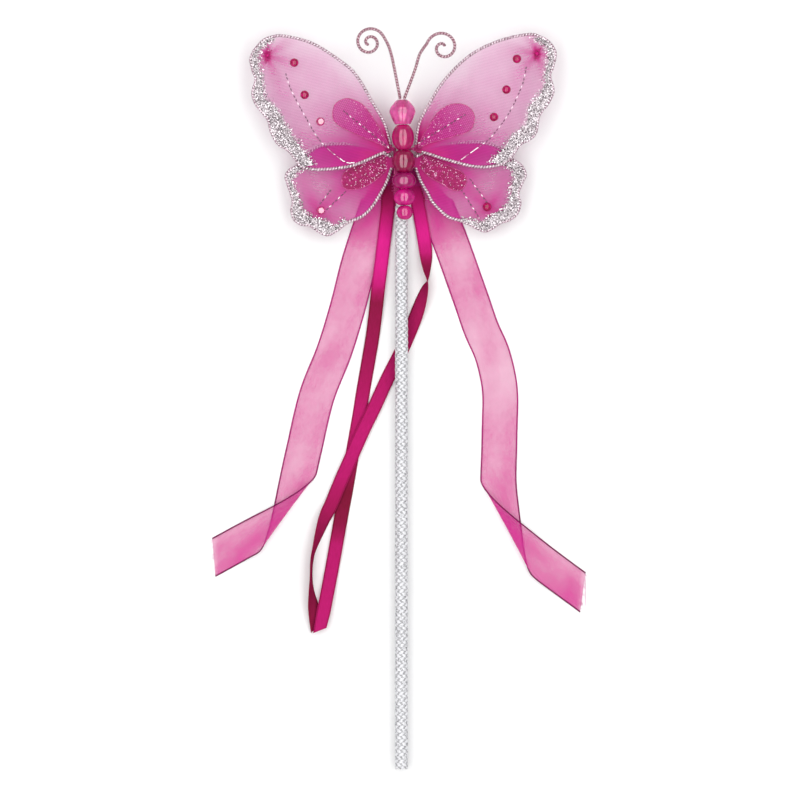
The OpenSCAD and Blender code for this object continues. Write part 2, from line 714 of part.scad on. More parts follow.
rod_core();
rod_sleeve();
root_binding();
glue_saddle();
spine_wires();
head_bead();
thorax_bead();
waist_bead();
upper_abdomen_bead();
lower_abdomen_bead();
tail_bead();
left_antenna();
right_antenna();
left_upper_root();
left_lower_root();
right_upper_root();
right_lower_root();
left_upper_frame();
left_upper_nylon();
left_upper_glitter();
left_upper_petal();
left_upper_gems();
left_upper_gather();
left_lower_frame();
left_lower_nylon();
left_lower_glitter();
left_lower_petal();
left_lower_gem();
right_upper_frame();
right_upper_nylon();
right_upper_glitter();
right_upper_petal();
right_upper_gems();
right_upper_gather();
right_lower_frame();
right_lower_nylon();
right_lower_glitter();
right_lower_petal();
right_lower_gem();
ribbon_fold();
left_organza();
right_organza();
left_satin();
right_satin();
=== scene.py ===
# %% [markdown]
# # A toy magic wand, dressed in Blender
#
# The wand is a braided rod with a nylon butterfly, a body of strung beads and four trailing ribbons. Its
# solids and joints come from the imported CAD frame, and this lesson puts the looks around them. Everything
# is in metres in the frame's own axes: +Y runs up the rod, +Z is the butterfly's front, and the wand lies
# on a table.

# %% The frame
import math
import random

import bpy
import numpy as np
from mathutils import Matrix, Vector
from mathutils.geometry import delaunay_2d_cdt


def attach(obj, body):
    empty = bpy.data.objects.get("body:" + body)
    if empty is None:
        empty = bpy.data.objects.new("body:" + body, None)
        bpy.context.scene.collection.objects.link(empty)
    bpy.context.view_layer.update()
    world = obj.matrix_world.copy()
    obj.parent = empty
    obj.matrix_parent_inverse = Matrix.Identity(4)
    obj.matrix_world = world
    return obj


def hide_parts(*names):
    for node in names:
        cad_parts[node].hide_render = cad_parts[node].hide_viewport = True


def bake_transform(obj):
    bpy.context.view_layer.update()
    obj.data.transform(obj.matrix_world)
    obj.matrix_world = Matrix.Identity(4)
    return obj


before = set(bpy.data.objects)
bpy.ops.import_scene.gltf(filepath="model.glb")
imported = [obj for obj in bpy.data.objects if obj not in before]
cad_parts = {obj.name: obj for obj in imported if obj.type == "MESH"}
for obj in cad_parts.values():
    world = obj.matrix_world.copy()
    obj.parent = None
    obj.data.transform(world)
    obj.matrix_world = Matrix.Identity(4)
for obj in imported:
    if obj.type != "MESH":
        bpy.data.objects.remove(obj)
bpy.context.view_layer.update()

# %% [markdown]
# ## Measures
#
# Lengths are kept in millimetres, as a maker would write them, and become metres only when a mesh is
# made. The names and the points are those of the CAD source, so a piece lies exactly where its solid
# lies.

# %% Measures of the wand
MM = 0.001
left, right = -1, 1
upper, lower = 1, -1
sleeve_len, sleeve_d = 258, 6.0
body_x, root_y = 0.9, 280.0
bead_axis_z, body_tilt = 9.6896, math.radians(1.3)
hinge_u, hinge_z, hinge_run, wing_step = 5.6, 3.9896, 3.6, 2.8
upper_root_v, lower_root_v, lower_top_v, root_spread = 4.65, -4, 1, 0.95
frame_d = 1.7
table_z, fold_y, ribbon_start_y = -5.0, 262.0, 261.7
organza_w, organza_t, satin_w, satin_t = 15.9, 0.3, 6.35, 0.4
print("sleeve", sleeve_len, "mm, wings hinged", hinge_u, "mm beside the body")

# %% [markdown]
# ## Camera
#
# The wand is photographed from straight above with a long lens, so the camera looks down -Z with +Y
# upwards in the image. 368 mm of table fill the square picture.

# %% Camera
lens_mm, sensor_mm, field_mm = 400, 36, 368
view_x, view_y = -0.69, 169.3
camera_height = field_mm * MM * lens_mm / sensor_mm
bpy.ops.object.camera_add(location=(view_x * MM, view_y * MM, camera_height))
camera = bpy.context.object
camera.data.lens = lens_mm
camera.data.sensor_width = sensor_mm
camera.data.clip_end = 60
bpy.context.scene.camera = camera
print("camera", round(camera.location.z, 3), "m above the rod's axis")

# %% [markdown]
# ## Curves, lofts and sheets
#
# Ribbons, wires and braid strands are all a cross-section carried along a smooth line. A few helpers draw
# the line through its points, lay rings along it and join the rings to one mesh with a UV map that runs
# along it in millimetres, so that a weave can follow the piece.


# %% Lines through points
def unit(v):
    return v / np.linalg.norm(v, axis=-1, keepdims=True)


def smooth(t):
    t = np.clip(t, 0, 1)
    return t * t * (3 - 2 * t)


def through(points, steps, closed=False):
    p = np.asarray(points, float)
    n = len(p)
    made = []
    for i in range(n if closed else n - 1):
        near = [i - 1, i, i + 1, i + 2]
        a, b, c, d = (p[j % n] if closed else p[min(max(j, 0), n - 1)] for j in near)
        for t in np.arange(steps) / steps:
            cubic = (3 * b - a - 3 * c + d) * t**3
            made.append(0.5 * (2 * b + (c - a) * t + (2 * a - 5 * b + 4 * c - d) * t * t + cubic))
    return np.array(made if closed else made + [p[-1]])


def run_of(path):
    return np.r_[0, np.cumsum(np.linalg.norm(np.diff(path, axis=0), axis=1))]


def evenly(path, spacing):
    run = run_of(path[:, :3])
    at = np.linspace(0, run[-1], max(int(run[-1] / spacing), 2) + 1)
    return np.stack([np.interp(at, run, path[:, k]) for k in range(path.shape[1])], axis=1)


print("a line through three points:", len(through([[0, 0], [1, 1], [2, 0]], 4)), "points")


# %% Lofts along a line
def loft(rings):
    rings = np.asarray(rings, float)
    count, sides = rings.shape[:2]
    run = run_of(rings.mean(axis=1))
    faces, uvs = [], []
    for i in range(count - 1):
        for k in range(sides):
            a, b = i * sides + k, i * sides + (k + 1) % sides
            faces.append((a, a + sides, b + sides, b))
            v0, v1 = k / sides, (k + 1) / sides
            uvs += [(run[i], v0), (run[i + 1], v0), (run[i + 1], v1), (run[i], v1)]
    top = (count - 1) * sides
    faces += [tuple(range(sides)), tuple(range(top + sides - 1, top - 1, -1))]
    uvs += [(0, 0)] * sides + [(run[-1], 0)] * sides
    return rings.reshape(-1, 3), faces, uvs


def tube(path, radius, sides, up=(0, 0, 1), flat=1.0):
    along = unit(np.gradient(path, axis=0))
    side = unit(np.cross(along, np.broadcast_to(up, path.shape)))
    over = np.cross(side, along)
    radius = np.broadcast_to(radius, (len(path),))[:, None, None]
    turn = 2 * math.pi * np.arange(sides)[None, :, None] / sides
    ring = np.cos(turn) * side[:, None] + flat * np.sin(turn) * over[:, None]
    return loft(path[:, None] + radius * ring)


def mesh_piece(name, lofts, flat_shaded=False):
    points, faces, uvs, base = [], [], [], 0
    for part_points, part_faces, part_uvs in lofts:
        points.append(part_points)
        faces += [tuple(base + i for i in face) for face in part_faces]
        uvs += part_uvs
        base += len(part_points)
    mesh = bpy.data.meshes.new(name)
    mesh.from_pydata(np.concatenate(points) * MM, [], faces)
    mesh.uv_layers.new(name="run").data.foreach_set("uv", np.array(uvs, float).ravel())
    mesh.polygons.foreach_set("use_smooth", [not flat_shaded] * len(mesh.polygons))
    piece = bpy.data.objects.new(name, mesh)
    bpy.context.scene.collection.objects.link(piece)
    return piece


def grid_sheet(rows):
    rows = np.asarray(rows, float)
    count, wide = rows.shape[:2]
    run = run_of(rows.mean(axis=1))
    faces, uvs = [], []
    for i in range(count - 1):
        for k in range(wide - 1):
            a = i * wide + k
            faces.append((a, a + 1, a + 1 + wide, a + wide))
            v0, v1 = k / (wide - 1), (k + 1) / (wide - 1)
            uvs += [(run[i], v0), (run[i], v1), (run[i + 1], v1), (run[i + 1], v0)]
    return rows.reshape(-1, 3), faces, uvs


print("lofts and sheets ready")

# %% [markdown]
# ## Finishes
#
# Each finish is a Principled shader with its own procedural pattern. Small helpers keep the node trees
# short. One starts a finish with the values that are the same all over, one adds a node and its links,
# and the rest are the patterns that come back: clouds of noise, bands of waves, sums and ranges. A value
# that changes from place to place on a piece, such as how dense a cloth is, is written on its points and
# read by name.


# %% Helpers for finishes
def finish_of(name, colour, roughness, **sockets):
    made = bpy.data.materials.new(name)
    made.use_nodes = True
    shader = made.node_tree.nodes["Principled BSDF"]
    shader.inputs["Base Color"].default_value = (*colour, 1)
    shader.inputs["Roughness"].default_value = roughness
    for socket, value in sockets.items():
        shader.inputs[socket.replace("_", " ")].default_value = value
    return made


def add(made, kind, inputs=None, **settings):
    node = made.node_tree.nodes.new("ShaderNode" + kind)
    for name, value in settings.items():
        setattr(node, name, value)
    for name, value in (inputs or {}).items():
        socket = node.inputs[name]
        if isinstance(value, bpy.types.NodeSocket):
            made.node_tree.links.new(value, socket)
        else:
            socket.default_value = value
    return node


def shade(made, socket, value):
    made.node_tree.links.new(value, made.node_tree.nodes["Principled BSDF"].inputs[socket])


def place_of(made, source="Object", scale=(1, 1, 1), turn=0.0):
    coordinates = add(made, "TexCoord").outputs[source]
    mapping = {"Vector": coordinates, "Scale": scale, "Rotation": (0, 0, turn)}
    return add(made, "Mapping", mapping).outputs["Vector"]


def ramp(made, value, stops):
    node = add(made, "ValToRGB", {"Fac": value})
    for i in range(len(stops) - 2):
        node.color_ramp.elements.new(0.5)
    for element, (at, colour) in zip(node.color_ramp.elements, stops):
        element.position = at
        element.color = (*colour, 1)
    return node.outputs["Color"]


def bump(made, height, strength, distance_mm):
    node = add(made, "Bump", {"Height": height, "Strength": strength, "Distance": distance_mm * MM})
    shade(made, "Normal", node.outputs["Normal"])


print("finish helpers ready")


# %% Patterns that come back
def calc(made, operation, *values, clamp=False):
    return add(made, "Math", dict(enumerate(values)), operation=operation, use_clamp=clamp).outputs[0]


def span(made, value, low, high, to_low, to_high):
    node = add(made, "MapRange", {"Value": value, 1: low, 2: high, 3: to_low, 4: to_high})
    return node.outputs["Result"]


def clouds(made, scale, detail=2.0, place=None, roughness=0.5):
    place = place_of(made) if place is None else place
    inputs = {"Vector": place, "Scale": scale, "Detail": detail, "Roughness": roughness}
    return add(made, "TexNoise", inputs).outputs["Fac"]


def mottled(made, scale, stops, **how):
    noise = clouds(made, scale, **how)
    shade(made, "Base Color", ramp(made, noise, stops))
    return noise


def waves(made, scale, stretch=(1, 1, 1), turn=0.0, distortion=0.0, direction="X"):
    place = place_of(made, "UV", stretch, turn)
    inputs = {"Vector": place, "Scale": scale, "Distortion": distortion}
    return add(made, "TexWave", inputs, bands_direction=direction).outputs["Fac"]


def read(made, name):
    return add(made, "Attribute", attribute_name=name).outputs["Fac"]


print("patterns ready")


# %% Dressing a piece
def mark(piece, name, values):
    marks = piece.data.attributes.new(name, "FLOAT", "POINT")
    marks.data.foreach_set("value", np.asarray(values, float).ravel())


def dress(piece, body, made, nodes=()):
    piece.data.materials.clear()
    piece.data.materials.append(made)
    if body:
        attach(piece, body)
    if nodes:
        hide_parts(*nodes)


print("dressing helpers ready")

# %% [markdown]
# ## Satin ribbons
#
# Two narrow satin ribbons hang from the fold behind the rod. They are the wand's cords: fixed lengths of
# something limp that lie on the table. The right one turns over, slips under the rod and crosses the left
# one. A satin point is x, y from the fold, the lift off the table and the roll in degrees.

# %% Routes of the satin ribbons
over_organza = organza_t + 0.3
over_satin = satin_t + 0.6
left_satin_route = [
    [-6.2, 0, over_organza, 0], [-6.2, -3, over_organza, 0], [-6.7, -8, over_organza, 0],
    [-8.5, -23, over_organza, 0], [-10.6, -40, 1.8, 0], [-12.9, -60, over_organza, 0],
    [-15, -73, 0.3, 0], [-17.7, -88.5, 0, 0], [-19.7, -101, 0, 0], [-23, -119.5, 0, 0],
    [-25.5, -134, 0, 0], [-27.3, -143.5, 0, 0], [-29.7, -157, 0.9, 0], [-32.2, -171, 0.6, 0],
    [-34.5, -183, 1.8, 0], [-36.7, -194, 2.6, 0], [-37.6, -198.5, 2.6, 0]
]
right_satin_route = [
    [7.6, 0, over_organza, 0], [7.6, -2.5, over_organza, 0], [8.7, -8, over_organza, 0],
    [10.9, -22, over_organza, 15], [11.6, -32.5, 0.3, 60], [11.9, -37.5, 0.1, 90],
    [10.4, -42.5, 0, 125], [6.2, -55, 0, 168], [0.1, -69.5, 0, 180], [-6.2, -82, 0.2, 180],
    [-12.6, -96, over_satin, 180], [-17.7, -106.5, over_satin, 180], [-23, -118.5, over_satin, 180],
    [-28.1, -130, over_satin, 180], [-32.4, -140.5, over_satin, 182], [-35.7, -147.5, 0.3, 215],
    [-39.7, -159.5, 0, 252], [-41.2, -166, 0, 260], [-41.6, -174, 0, 262], [-41.4, -181, 0, 248],
    [-40.4, -188.5, 0, 218], [-38.6, -197, 0, 188]
]
print("satin routes:", len(left_satin_route), "and", len(right_satin_route), "points")

# %% A satin ribbon's line and section
ribbon_step = 1.0


def satin_line(route, start):
    points = evenly(through(route, 8), ribbon_step)
    roll = np.radians(points[:, 3])
    rise = satin_w / 2 * abs(np.sin(roll)) + satin_t / 2 * (abs(np.cos(roll)) - 1)
    height = table_z + satin_t / 2 + points[:, 2] + rise
    path = np.stack([points[:, 0], ribbon_start_y + points[:, 1], height], axis=1)
    path = np.concatenate([evenly(np.array(start + [path[0]]), ribbon_step)[:-1], path])
    roll = np.concatenate([np.zeros(len(path) - len(roll)), roll])[:, None]
    along = unit(np.gradient(path, axis=0))
    level = unit(np.cross(along, (0, 0, 1)))
    return path, level * np.cos(roll) + np.cross(level, along) * np.sin(roll)


def ribbon_rings(path, across, width, thick, columns, cup):
    along = unit(np.gradient(path, axis=0))
    through_it = unit(np.cross(across, along))
    share = np.linspace(-1, 1, columns)
    section = np.concatenate([share, share[::-1]])[None, :, None]
    face = np.repeat([1, -1], columns)[None, :, None]
    lift = face * thick / 2 + cup * (1 - section**2)
    return path[:, None] + across[:, None] * section * width / 2 + through_it[:, None] * lift


print("satin points lie", ribbon_step, "mm apart")

# %% [markdown]
# Satin is woven so that long threads float on its face. Where the ribbon tips towards the light it is
# bright, and elsewhere nearly wine red. This light and shade is painted into the colour: a painted sheen is
# written along each ribbon by its place along the rod. Fine threads and a rib follow the UV map, and a row
# of small dark dots runs along each hem.

# %% Satin finish
black, white = (0.0,) * 3, (1.0,) * 3
satin = finish_of("satin", (0.5, 0.004, 0.145), 0.45, Specular_IOR_Level=0.0)
threads = clouds(satin, 1.0, 3.0, place_of(satin, "UV", (0.35, 90, 1)))
# tone is the painted sheen plus a little thread variation: how far the satin is painted towards its
# highlight.
tone = calc(satin, "ADD", read(satin, "painted_sheen"), span(satin, threads, 0.3, 0.7, -0.1, 0.1))
hem_zone = ramp(satin, read(satin, "hem"), [(0.74, black), (0.82, white), (0.93, white), (0.98, black)])
stitched = calc(satin, "MULTIPLY", hem_zone, waves(satin, 0.34, (1, 0, 0)))
dotted = calc(satin, "MULTIPLY_ADD", stitched, -0.45, tone)
# The ramp runs from painted shade (wine) through rose to a painted highlight (bright).
wine, rose, bright = (0.2, 0.011, 0.035), (0.4, 0.013, 0.105), (0.76, 0.022, 0.28)
shade(satin, "Base Color", ramp(satin, dotted, [(0.0, wine), (0.5, rose), (1.0, bright)]))
bump(satin, waves(satin, 0.8, (1, 60, 1), distortion=0.4, direction="Y"), 0.2, 0.06)
print("satin:", len(satin.node_tree.nodes), "nodes")

# %% The two satin cords
fold_starts = {
    "left": [[-1.6, 274, -4.35], [-3.9, 268, -4.3]],
    "right": [[2.2, 274, -4.45], [5.4, 268, -4.4]],
}
satin_routes = {"left": left_satin_route, "right": right_satin_route}
# Painted sheen of each satin ribbon: place along the rod in mm, then how bright the satin is painted there.
painted_sheen_runs = {
    "left": ([63, 103, 112, 127, 145, 166, 190, 214, 222, 230, 243, 262],
             [0.65, 0.6, 0.15, 0.0, 0.55, 0.6, 0.35, 0.15, 0.7, 0.9, 0.95, 0.45]),
    "right": ([63, 97, 118, 134, 150, 182, 215, 224, 231, 237, 246, 262],
              [0.15, 0.15, 0.4, 0.6, 0.65, 0.55, 0.4, 0.2, 0.25, 0.7, 0.95, 0.7]),
}
satin_cup, end_slant, slant_run = 0.12, 1.9, 8
for name, route in satin_routes.items():
    path, across = satin_line(route, [np.array(p) for p in fold_starts[name]])
    rings = ribbon_rings(path, across, satin_w, satin_t, 7, satin_cup)
    run = run_of(path)
    near_end = np.clip(1 - (run[-1] - run) / slant_run, 0, 1)[:, None]
    rings[:, :, 1] += near_end * end_slant * (rings[:, :, 0] - path[:, :1]) / (satin_w / 2)
    ribbon = mesh_piece(name + "_satin_ribbon", [loft(rings)])
    mark(ribbon, "hem", np.linalg.norm(rings - path[:, None], axis=2) / (satin_w / 2))
    mark(ribbon, "painted_sheen", np.interp(rings[:, :, 1], *painted_sheen_runs[name]))
    dress(ribbon, None, satin, [name + "_satin"])
    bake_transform(ribbon)
    print(name, "satin:", round(run[-1], 1), "mm")

# %% [markdown]
# ## Organza ribbons
#
# The sheer ribbons are wide enough to be sheets. Each comes down flat, turns over at a slanted bend, and
# its tail lies on top of itself. The dark selvedges are cords woven into the two edges, so they are thin
# tubes of their own that follow the sheet's edges. At the cut ends the cloth frays to loose threads. An
# organza point is x, y from the fold, the lift off the table and the turn of the ribbon's width in
# degrees.

# %% Routes of the organza ribbons
left_organza_down = [
    [-9.7, 0, 0.1, 0], [-13.8, -11.5, 0, -14], [-19.6, -29.5, 0, -16], [-25, -50.5, 0, -15],
    [-31, -70, 0, -18], [-39, -90.5, 0, -19], [-44.5, -113.5, 0, -14], [-47.5, -127, 0, 22]
]
left_bend = [-52.9, -145, 54, 4.15]
left_organza_tail = [[-71, -156.5, 0.3, 80], [-86.6, -165, 0, 95]]
right_organza_down = [
    [14.5, 0, 0.1, 0], [22, -18, 0, 18], [31.5, -44.5, 0, 19], [36.5, -59, 0, 20], [41.5, -70.5, 0, 19],
    [44.5, -82, 0, 10], [45.5, -91, 0, 2], [45.3, -102, 0, -1], [45, -115, 0, -2], [44.8, -130.5, 0, -28]
]
right_bend = [48.8, -152, -62, 4.5]
right_organza_tail = [[66, -168, 0.3, -85], [83.5, -181, 0, -98]]
print("organza bends at", left_bend[:2], "and", right_bend[:2])

# %% An organza ribbon's rows
bend_r, ease_wide, ease_run, ripple = 1.2, 10.0, 24, 0.12


def bend_points(side, bend):
    x, y, angle, half = bend
    line = np.array([math.cos(math.radians(angle)), math.sin(math.radians(angle))])
    made = []
    for turn in np.linspace(0, math.pi, 17):
        flat = np.array([x, y]) + side * half * (2 * turn / math.pi - 1) * line
        flat = flat + bend_r * math.sin(turn) * np.array([line[1], -line[0]])
        made.append([*flat, bend_r * (1 - math.cos(turn)), angle])
    return made


def eased(rows, run, bend_run):
    made = rows.copy()
    for i, here in enumerate(run):
        wide = ease_wide * math.exp(-(((here - bend_run) / ease_run) ** 2)) + 0.01
        weight = np.exp(-(((run - here) / wide) ** 2))[:, None, None]
        made[i, :, :2] = (rows[:, :, :2] * weight).sum(axis=0) / weight.sum()
    return made


def organza_rows(side, down, bend, tail, columns):
    turn = bend_points(side, bend)
    entry = through(down + [turn[0]], 14)
    exit_run = through([turn[-1]] + tail, 16)
    route = np.concatenate([entry, turn[1:], exit_run[1:]])
    height = table_z + organza_t / 2 + route[:, 2]
    path = np.stack([route[:, 0], ribbon_start_y + route[:, 1], height], axis=1)
    angle = np.radians(route[:, 3])
    across = np.stack([np.cos(angle), np.sin(angle), 0 * angle], axis=1)
    along = unit(np.gradient(path, axis=0))
    lean = (along * across).sum(axis=1, keepdims=True)
    reach = across * organza_w / 2 / np.sqrt(1 - lean**2)
    share = np.linspace(-1, 1, columns)[None, :, None]
    rows = path[:, None] + reach[:, None] * share
    rows = eased(rows, run_of(path), run_of(path)[len(entry) + len(turn) // 2])
    down_it = route[:, 1:2]
    rows[:, :, 2] += np.sin(down_it / 5.5 + 1.7 * share[0, :, 0]) * np.cos(down_it / 13) * ripple + ripple
    return rows, path


print("organza bends have a radius of", bend_r, "mm")

# %% [markdown]
# Organza lets most of the light through. The shader's alpha is the share of thread: a veil written on the
# sheet, broken up by a fine weave and by clouds that stand for crumples. Where the ribbon lies on itself
# the two layers darken by themselves. The selvedges are rosy near the fold and nearly black towards the
# ends.

# %% Organza finish
organza = finish_of("organza", (0.7, 0.01, 0.3), 0.5, Alpha=0.62, Specular_IOR_Level=0.1)
weft = waves(organza, 1.6, (1, 0, 0), distortion=0.5)
warp = waves(organza, 1.6, (0.02, organza_w, 0), distortion=0.5, direction="Y")
weave = calc(organza, "ADD", weft, warp)
crumpled = clouds(organza, 1.0, 4.0, place_of(organza, "UV", (0.09, 2.2, 0)), 0.65)
weave = calc(organza, "ADD", weave, calc(organza, "MULTIPLY", crumpled, 3.0))
uneven = span(organza, weave, 1.4, 3.6, 0.8, 1.2)
shade(organza, "Alpha", calc(organza, "MULTIPLY", read(organza, "veil"), uneven, clamp=True))
selvedge = finish_of("selvedge", (0.32, 0.006, 0.12), 0.6, Specular_IOR_Level=0.05)
run_along = add(selvedge, "SeparateXYZ", {"Vector": place_of(selvedge, "UV")}).outputs["X"]
rosy = span(selvedge, run_along, 105.0, 155.0, 0.65, 0.0)
plies = calc(selvedge, "MULTIPLY_ADD", waves(selvedge, 1.2, distortion=1.0), 0.35, rosy)
cord_stops = [(0.0, (0.12, 0.003, 0.045)), (0.35, (0.24, 0.006, 0.1)), (1.0, (0.5, 0.02, 0.22))]
shade(selvedge, "Base Color", ramp(selvedge, plies, cord_stops))
loose_thread = finish_of("loose_thread", (0.7, 0.2, 0.45), 0.6)
mottled(loose_thread, 700.0, [(0.35, (0.55, 0.1, 0.3)), (0.65, (0.82, 0.4, 0.62))])
print("organza:", len(organza.node_tree.nodes), "nodes")


# %% Veil and fray of the organza
def organza_veil(run, side, columns, bunched):
    run, across = run[:, None], np.linspace(-1, 1, columns)
    crumples = 1 + 0.13 * np.sin(run / 7 + 2.2 * across) * np.sin(run / 17 - 1.4 * across)
    cut_end = 0.16 * smooth((run - run[-1] + 3) / 3)
    upper_edge = 0.2 * smooth((run - run[-1] + 42) / 10) * smooth((-side * across - 0.1) / 0.9)
    return np.interp(run, *bunched) * crumples - cut_end - upper_edge


fray_r, loose_r, tucked_in = 0.08, 0.1, 0.4
loose_run = [(-tucked_in, 0), (0.3, 0), (0.9, 2.5), (1.5, 6.5), (2.6, 10.5)]


def frayed_end(rows, count, draw, with_long_thread):
    end, inner = rows[-1], rows[-3]
    wide = end[-1] - end[0]
    sideways = unit(wide[None])[0]
    ahead = unit((end - inner).mean(axis=0)[None])[0]
    made = []
    for i in range(count):
        begin = end[0] + draw.uniform(0.02, 0.98) * wide
        reach, lean = draw.uniform(0.3, 1.1), draw.uniform(-0.5, 0.5)
        tip = begin + reach * (ahead + lean * sideways)
        middle = (begin + tip) / 2 + draw.uniform(-0.15, 0.15) * sideways
        made.append(tube(through([begin - tucked_in * ahead, begin, middle, tip], 3), fray_r, 5))
    if with_long_thread:
        begin = end[0] + 0.18 * wide
        lies = [begin + out * ahead + aside * sideways for out, aside in loose_run]
        made.append(tube(through(lies, 4), loose_r, 5))
    return made


print("fray: threads of", 2 * fray_r, "mm")

# %% The two organza sheets
organza_routes = {
    "left": (left, left_organza_down, left_bend, left_organza_tail),
    "right": (right, right_organza_down, right_bend, right_organza_tail),
}
veil_runs = {
    "left": ([0, 8, 16, 26, 44, 75, 108, 145, 165],
             [0.8, 0.72, 0.64, 0.48, 0.46, 0.48, 0.46, 0.5, 0.63]),
    "right": ([0, 8, 16, 26, 44, 85, 105, 125, 140, 165],
              [0.8, 0.74, 0.62, 0.45, 0.49, 0.37, 0.43, 0.52, 0.5, 0.63]),
}
selvedge_r = 0.3
fray_counts, fray_draw = {"left": 9, "right": 22}, random.Random(23)
for name, (side, down, bend, tail) in organza_routes.items():
    rows, path = organza_rows(side, down, bend, tail, 15)
    run = run_of(path)
    sheet = mesh_piece(name + "_organza_ribbon", [grid_sheet(rows)])
    mark(sheet, "veil", organza_veil(run, side, rows.shape[1], veil_runs[name]))
    dress(sheet, None, organza, [name + "_organza"])
    edging = mesh_piece(name + "_organza_selvedges", [tube(rows[:, k], selvedge_r, 6) for k in (0, -1)])
    dress(edging, None, selvedge)
    threads = frayed_end(rows, fray_counts[name], fray_draw, name == "right")
    fray = mesh_piece(name + "_organza_fray", threads)
    dress(fray, name + "_sheer", loose_thread)
    for cloth in (sheet, edging):
        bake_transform(cloth)
    print(name, "organza:", organza_w, "by", round(run[-1], 1), "mm")

# %% [markdown]
# ## Braided sleeve
#
# The rod is drawn into a tube braided from flat white and silver yarns. Six strands wind each way and
# pass over and under each other, so short slanted strokes show in rows. Modelled strands catch the light
# as the real ones do, which a bump on a smooth tube would not. How deep a strand dives under the next is
# written on its points, and shade is painted into the finish there: the deeper the dive, the darker.

# %% Braid finish
braid = finish_of("braid", (0.72, 0.71, 0.76), 0.38, Specular_IOR_Level=0.3)
fleck_inputs = {"Vector": place_of(braid, "UV", (0.6, 2.4, 1)), "Scale": 1.3, "Randomness": 1.0}
flecks = add(braid, "TexVoronoi", fleck_inputs).outputs["Distance"]
silver = ramp(braid, flecks, [(0.14, (0.38, 0.38, 0.4)), (0.42, (0.84, 0.84, 0.87))])
# Painted shade: the strand's colour is darker where it dives under its neighbour.
shadow = span(braid, read(braid, "dive"), 0.32, 0.65, 1.0, 0.62)
strokes = add(braid, "VectorMath", {0: silver, "Scale": shadow}, operation="SCALE")
shade(braid, "Base Color", strokes.outputs[0])
shade(braid, "Metallic", ramp(braid, flecks, [(0.12, (0.3,) * 3), (0.3, (0.02,) * 3)]))
bump(braid, waves(braid, 1.0, (0.05, 5, 1), distortion=0.6, direction="Y"), 0.5, 0.12)
print("braid:", len(braid.node_tree.nodes), "nodes")

# %% Braid strands
strands, braid_pitch, steps_a_turn = 6, 18.8, 36
row = braid_pitch / (2 * strands)
strand_r, strand_flat, weave_lift, proud, pattern_shift = 0.82, 0.25, 0.13, 0.06, 37.3
braid_r = sleeve_d / 2 - strand_r * strand_flat - weave_lift + proud
y = np.arange(0, sleeve_len + 0.01, braid_pitch / steps_a_turn)
winds, dives = [], []
for way in (1, -1):
    for strand in range(strands):
        angle = 2 * math.pi * (strand / strands + way * y / braid_pitch)
        out = np.stack([np.sin(angle), 0 * y, np.cos(angle)], axis=1)
        distance = braid_r + way * weave_lift * np.cos(math.pi * y / row)
        line = out * distance[:, None] + np.stack([0 * y, y, 0 * y], axis=1)
        points, faces, uvs = tube(line, strand_r, 8, up=out, flat=strand_flat)
        winds.append((points, faces, [(u + pattern_shift * len(winds), v) for u, v in uvs]))
        dives.append(0.5 - 0.5 * way * np.cos(math.pi * np.asarray(points)[:, 1] / row))
braided = mesh_piece("braided_sleeve", winds)
mark(braided, "dive", np.concatenate(dives))
dress(braided, "rod", braid, ["rod_sleeve"])
print("braid:", 2 * strands, "strands,", len(braided.data.polygons), "faces")

# %% [markdown]
# ## Beads
#
# The body is a string of moulded beads. A bead is drawn as half a profile, vertex by vertex, and spun
# round the string, which gives it a true round shape with its hole. The head bead is clear and passes
# some light; the others are coloured through and only just let light in. All have a hard gloss.


# %% A bead spun from its profile
def spun(name, profile, steps=72):
    bpy.ops.object.select_all(action="DESELECT")
    bpy.ops.mesh.primitive_plane_add(size=MM, location=(0, 0, 0))
    piece = bpy.context.object
    piece.name = piece.data.name = name
    bpy.ops.object.mode_set(mode="EDIT")
    bpy.ops.mesh.select_all(action="SELECT")
    bpy.ops.mesh.merge(type="CENTER")
    here = Vector((0, 0, 0))
    for i, (r, y) in enumerate(profile):
        there = Vector((r * MM, y * MM, 0))
        if i == 0:
            bpy.ops.transform.translate(value=there - here)
        else:
            bpy.ops.mesh.extrude_region_move(TRANSFORM_OT_translate={"value": there - here})
        here = there
    bpy.ops.mesh.select_all(action="SELECT")
    bpy.ops.mesh.spin(steps=steps, angle=2 * math.pi, center=(0, 0, 0), axis=(0, 1, 0))
    bpy.ops.mesh.select_all(action="SELECT")
    bpy.ops.mesh.remove_doubles(threshold=1e-6)
    bpy.ops.mesh.normals_make_consistent(inside=False)
    bpy.ops.object.mode_set(mode="OBJECT")
    bpy.ops.object.shade_smooth_by_angle(angle=math.radians(50))
    return piece


string_start = Matrix.Translation((body_x * MM, root_y * MM, bead_axis_z * MM))
string_place = string_start @ Matrix.Rotation(body_tilt, 4, "Z")
print("string leans", round(math.degrees(body_tilt), 2), "degrees")

# %% A round bead's profile
bore_r, lip, cut_share, touch = 1.8, 0.1, 0.88, 0.12


def bead_profile(d, length, v):
    s = np.linspace(-1, 1, 33) * cut_share
    outer = [(d / 2 * math.sqrt(1 - t * t), v + (length / 2 + touch) * t / cut_share) for t in s]
    low, high = outer[0][1], outer[-1][1]
    start, end = (bore_r, low + lip), (bore_r, high - lip)
    return [start, (bore_r + lip, low), *outer, (bore_r + lip, high), end, start]


print("bead holes:", 2 * bore_r, "mm")

# %% Bead finishes
bead_tones = {
    "thorax_bead": (0.46, 0.003, 0.12),
    "waist_bead": (0.3, 0.002, 0.065),
    "upper_abdomen_bead": (0.38, 0.003, 0.13),
    "lower_abdomen_bead": (0.58, 0.005, 0.21),
    "tail_bead": (0.58, 0.004, 0.19),
    "head_bead": (0.82, 0.13, 0.43),
}


def bead_finish(name, colour, clear):
    made = finish_of(name, colour, 0.09, IOR=1.5, Transmission_Weight=clear)
    dark = tuple(0.75 * c for c in colour)
    light = tuple(min(1.3 * c, 1) for c in colour)
    mottled(made, 350.0, [(0.35, dark), (0.7, light)])
    return made


print("bead tones:", len(bead_tones))

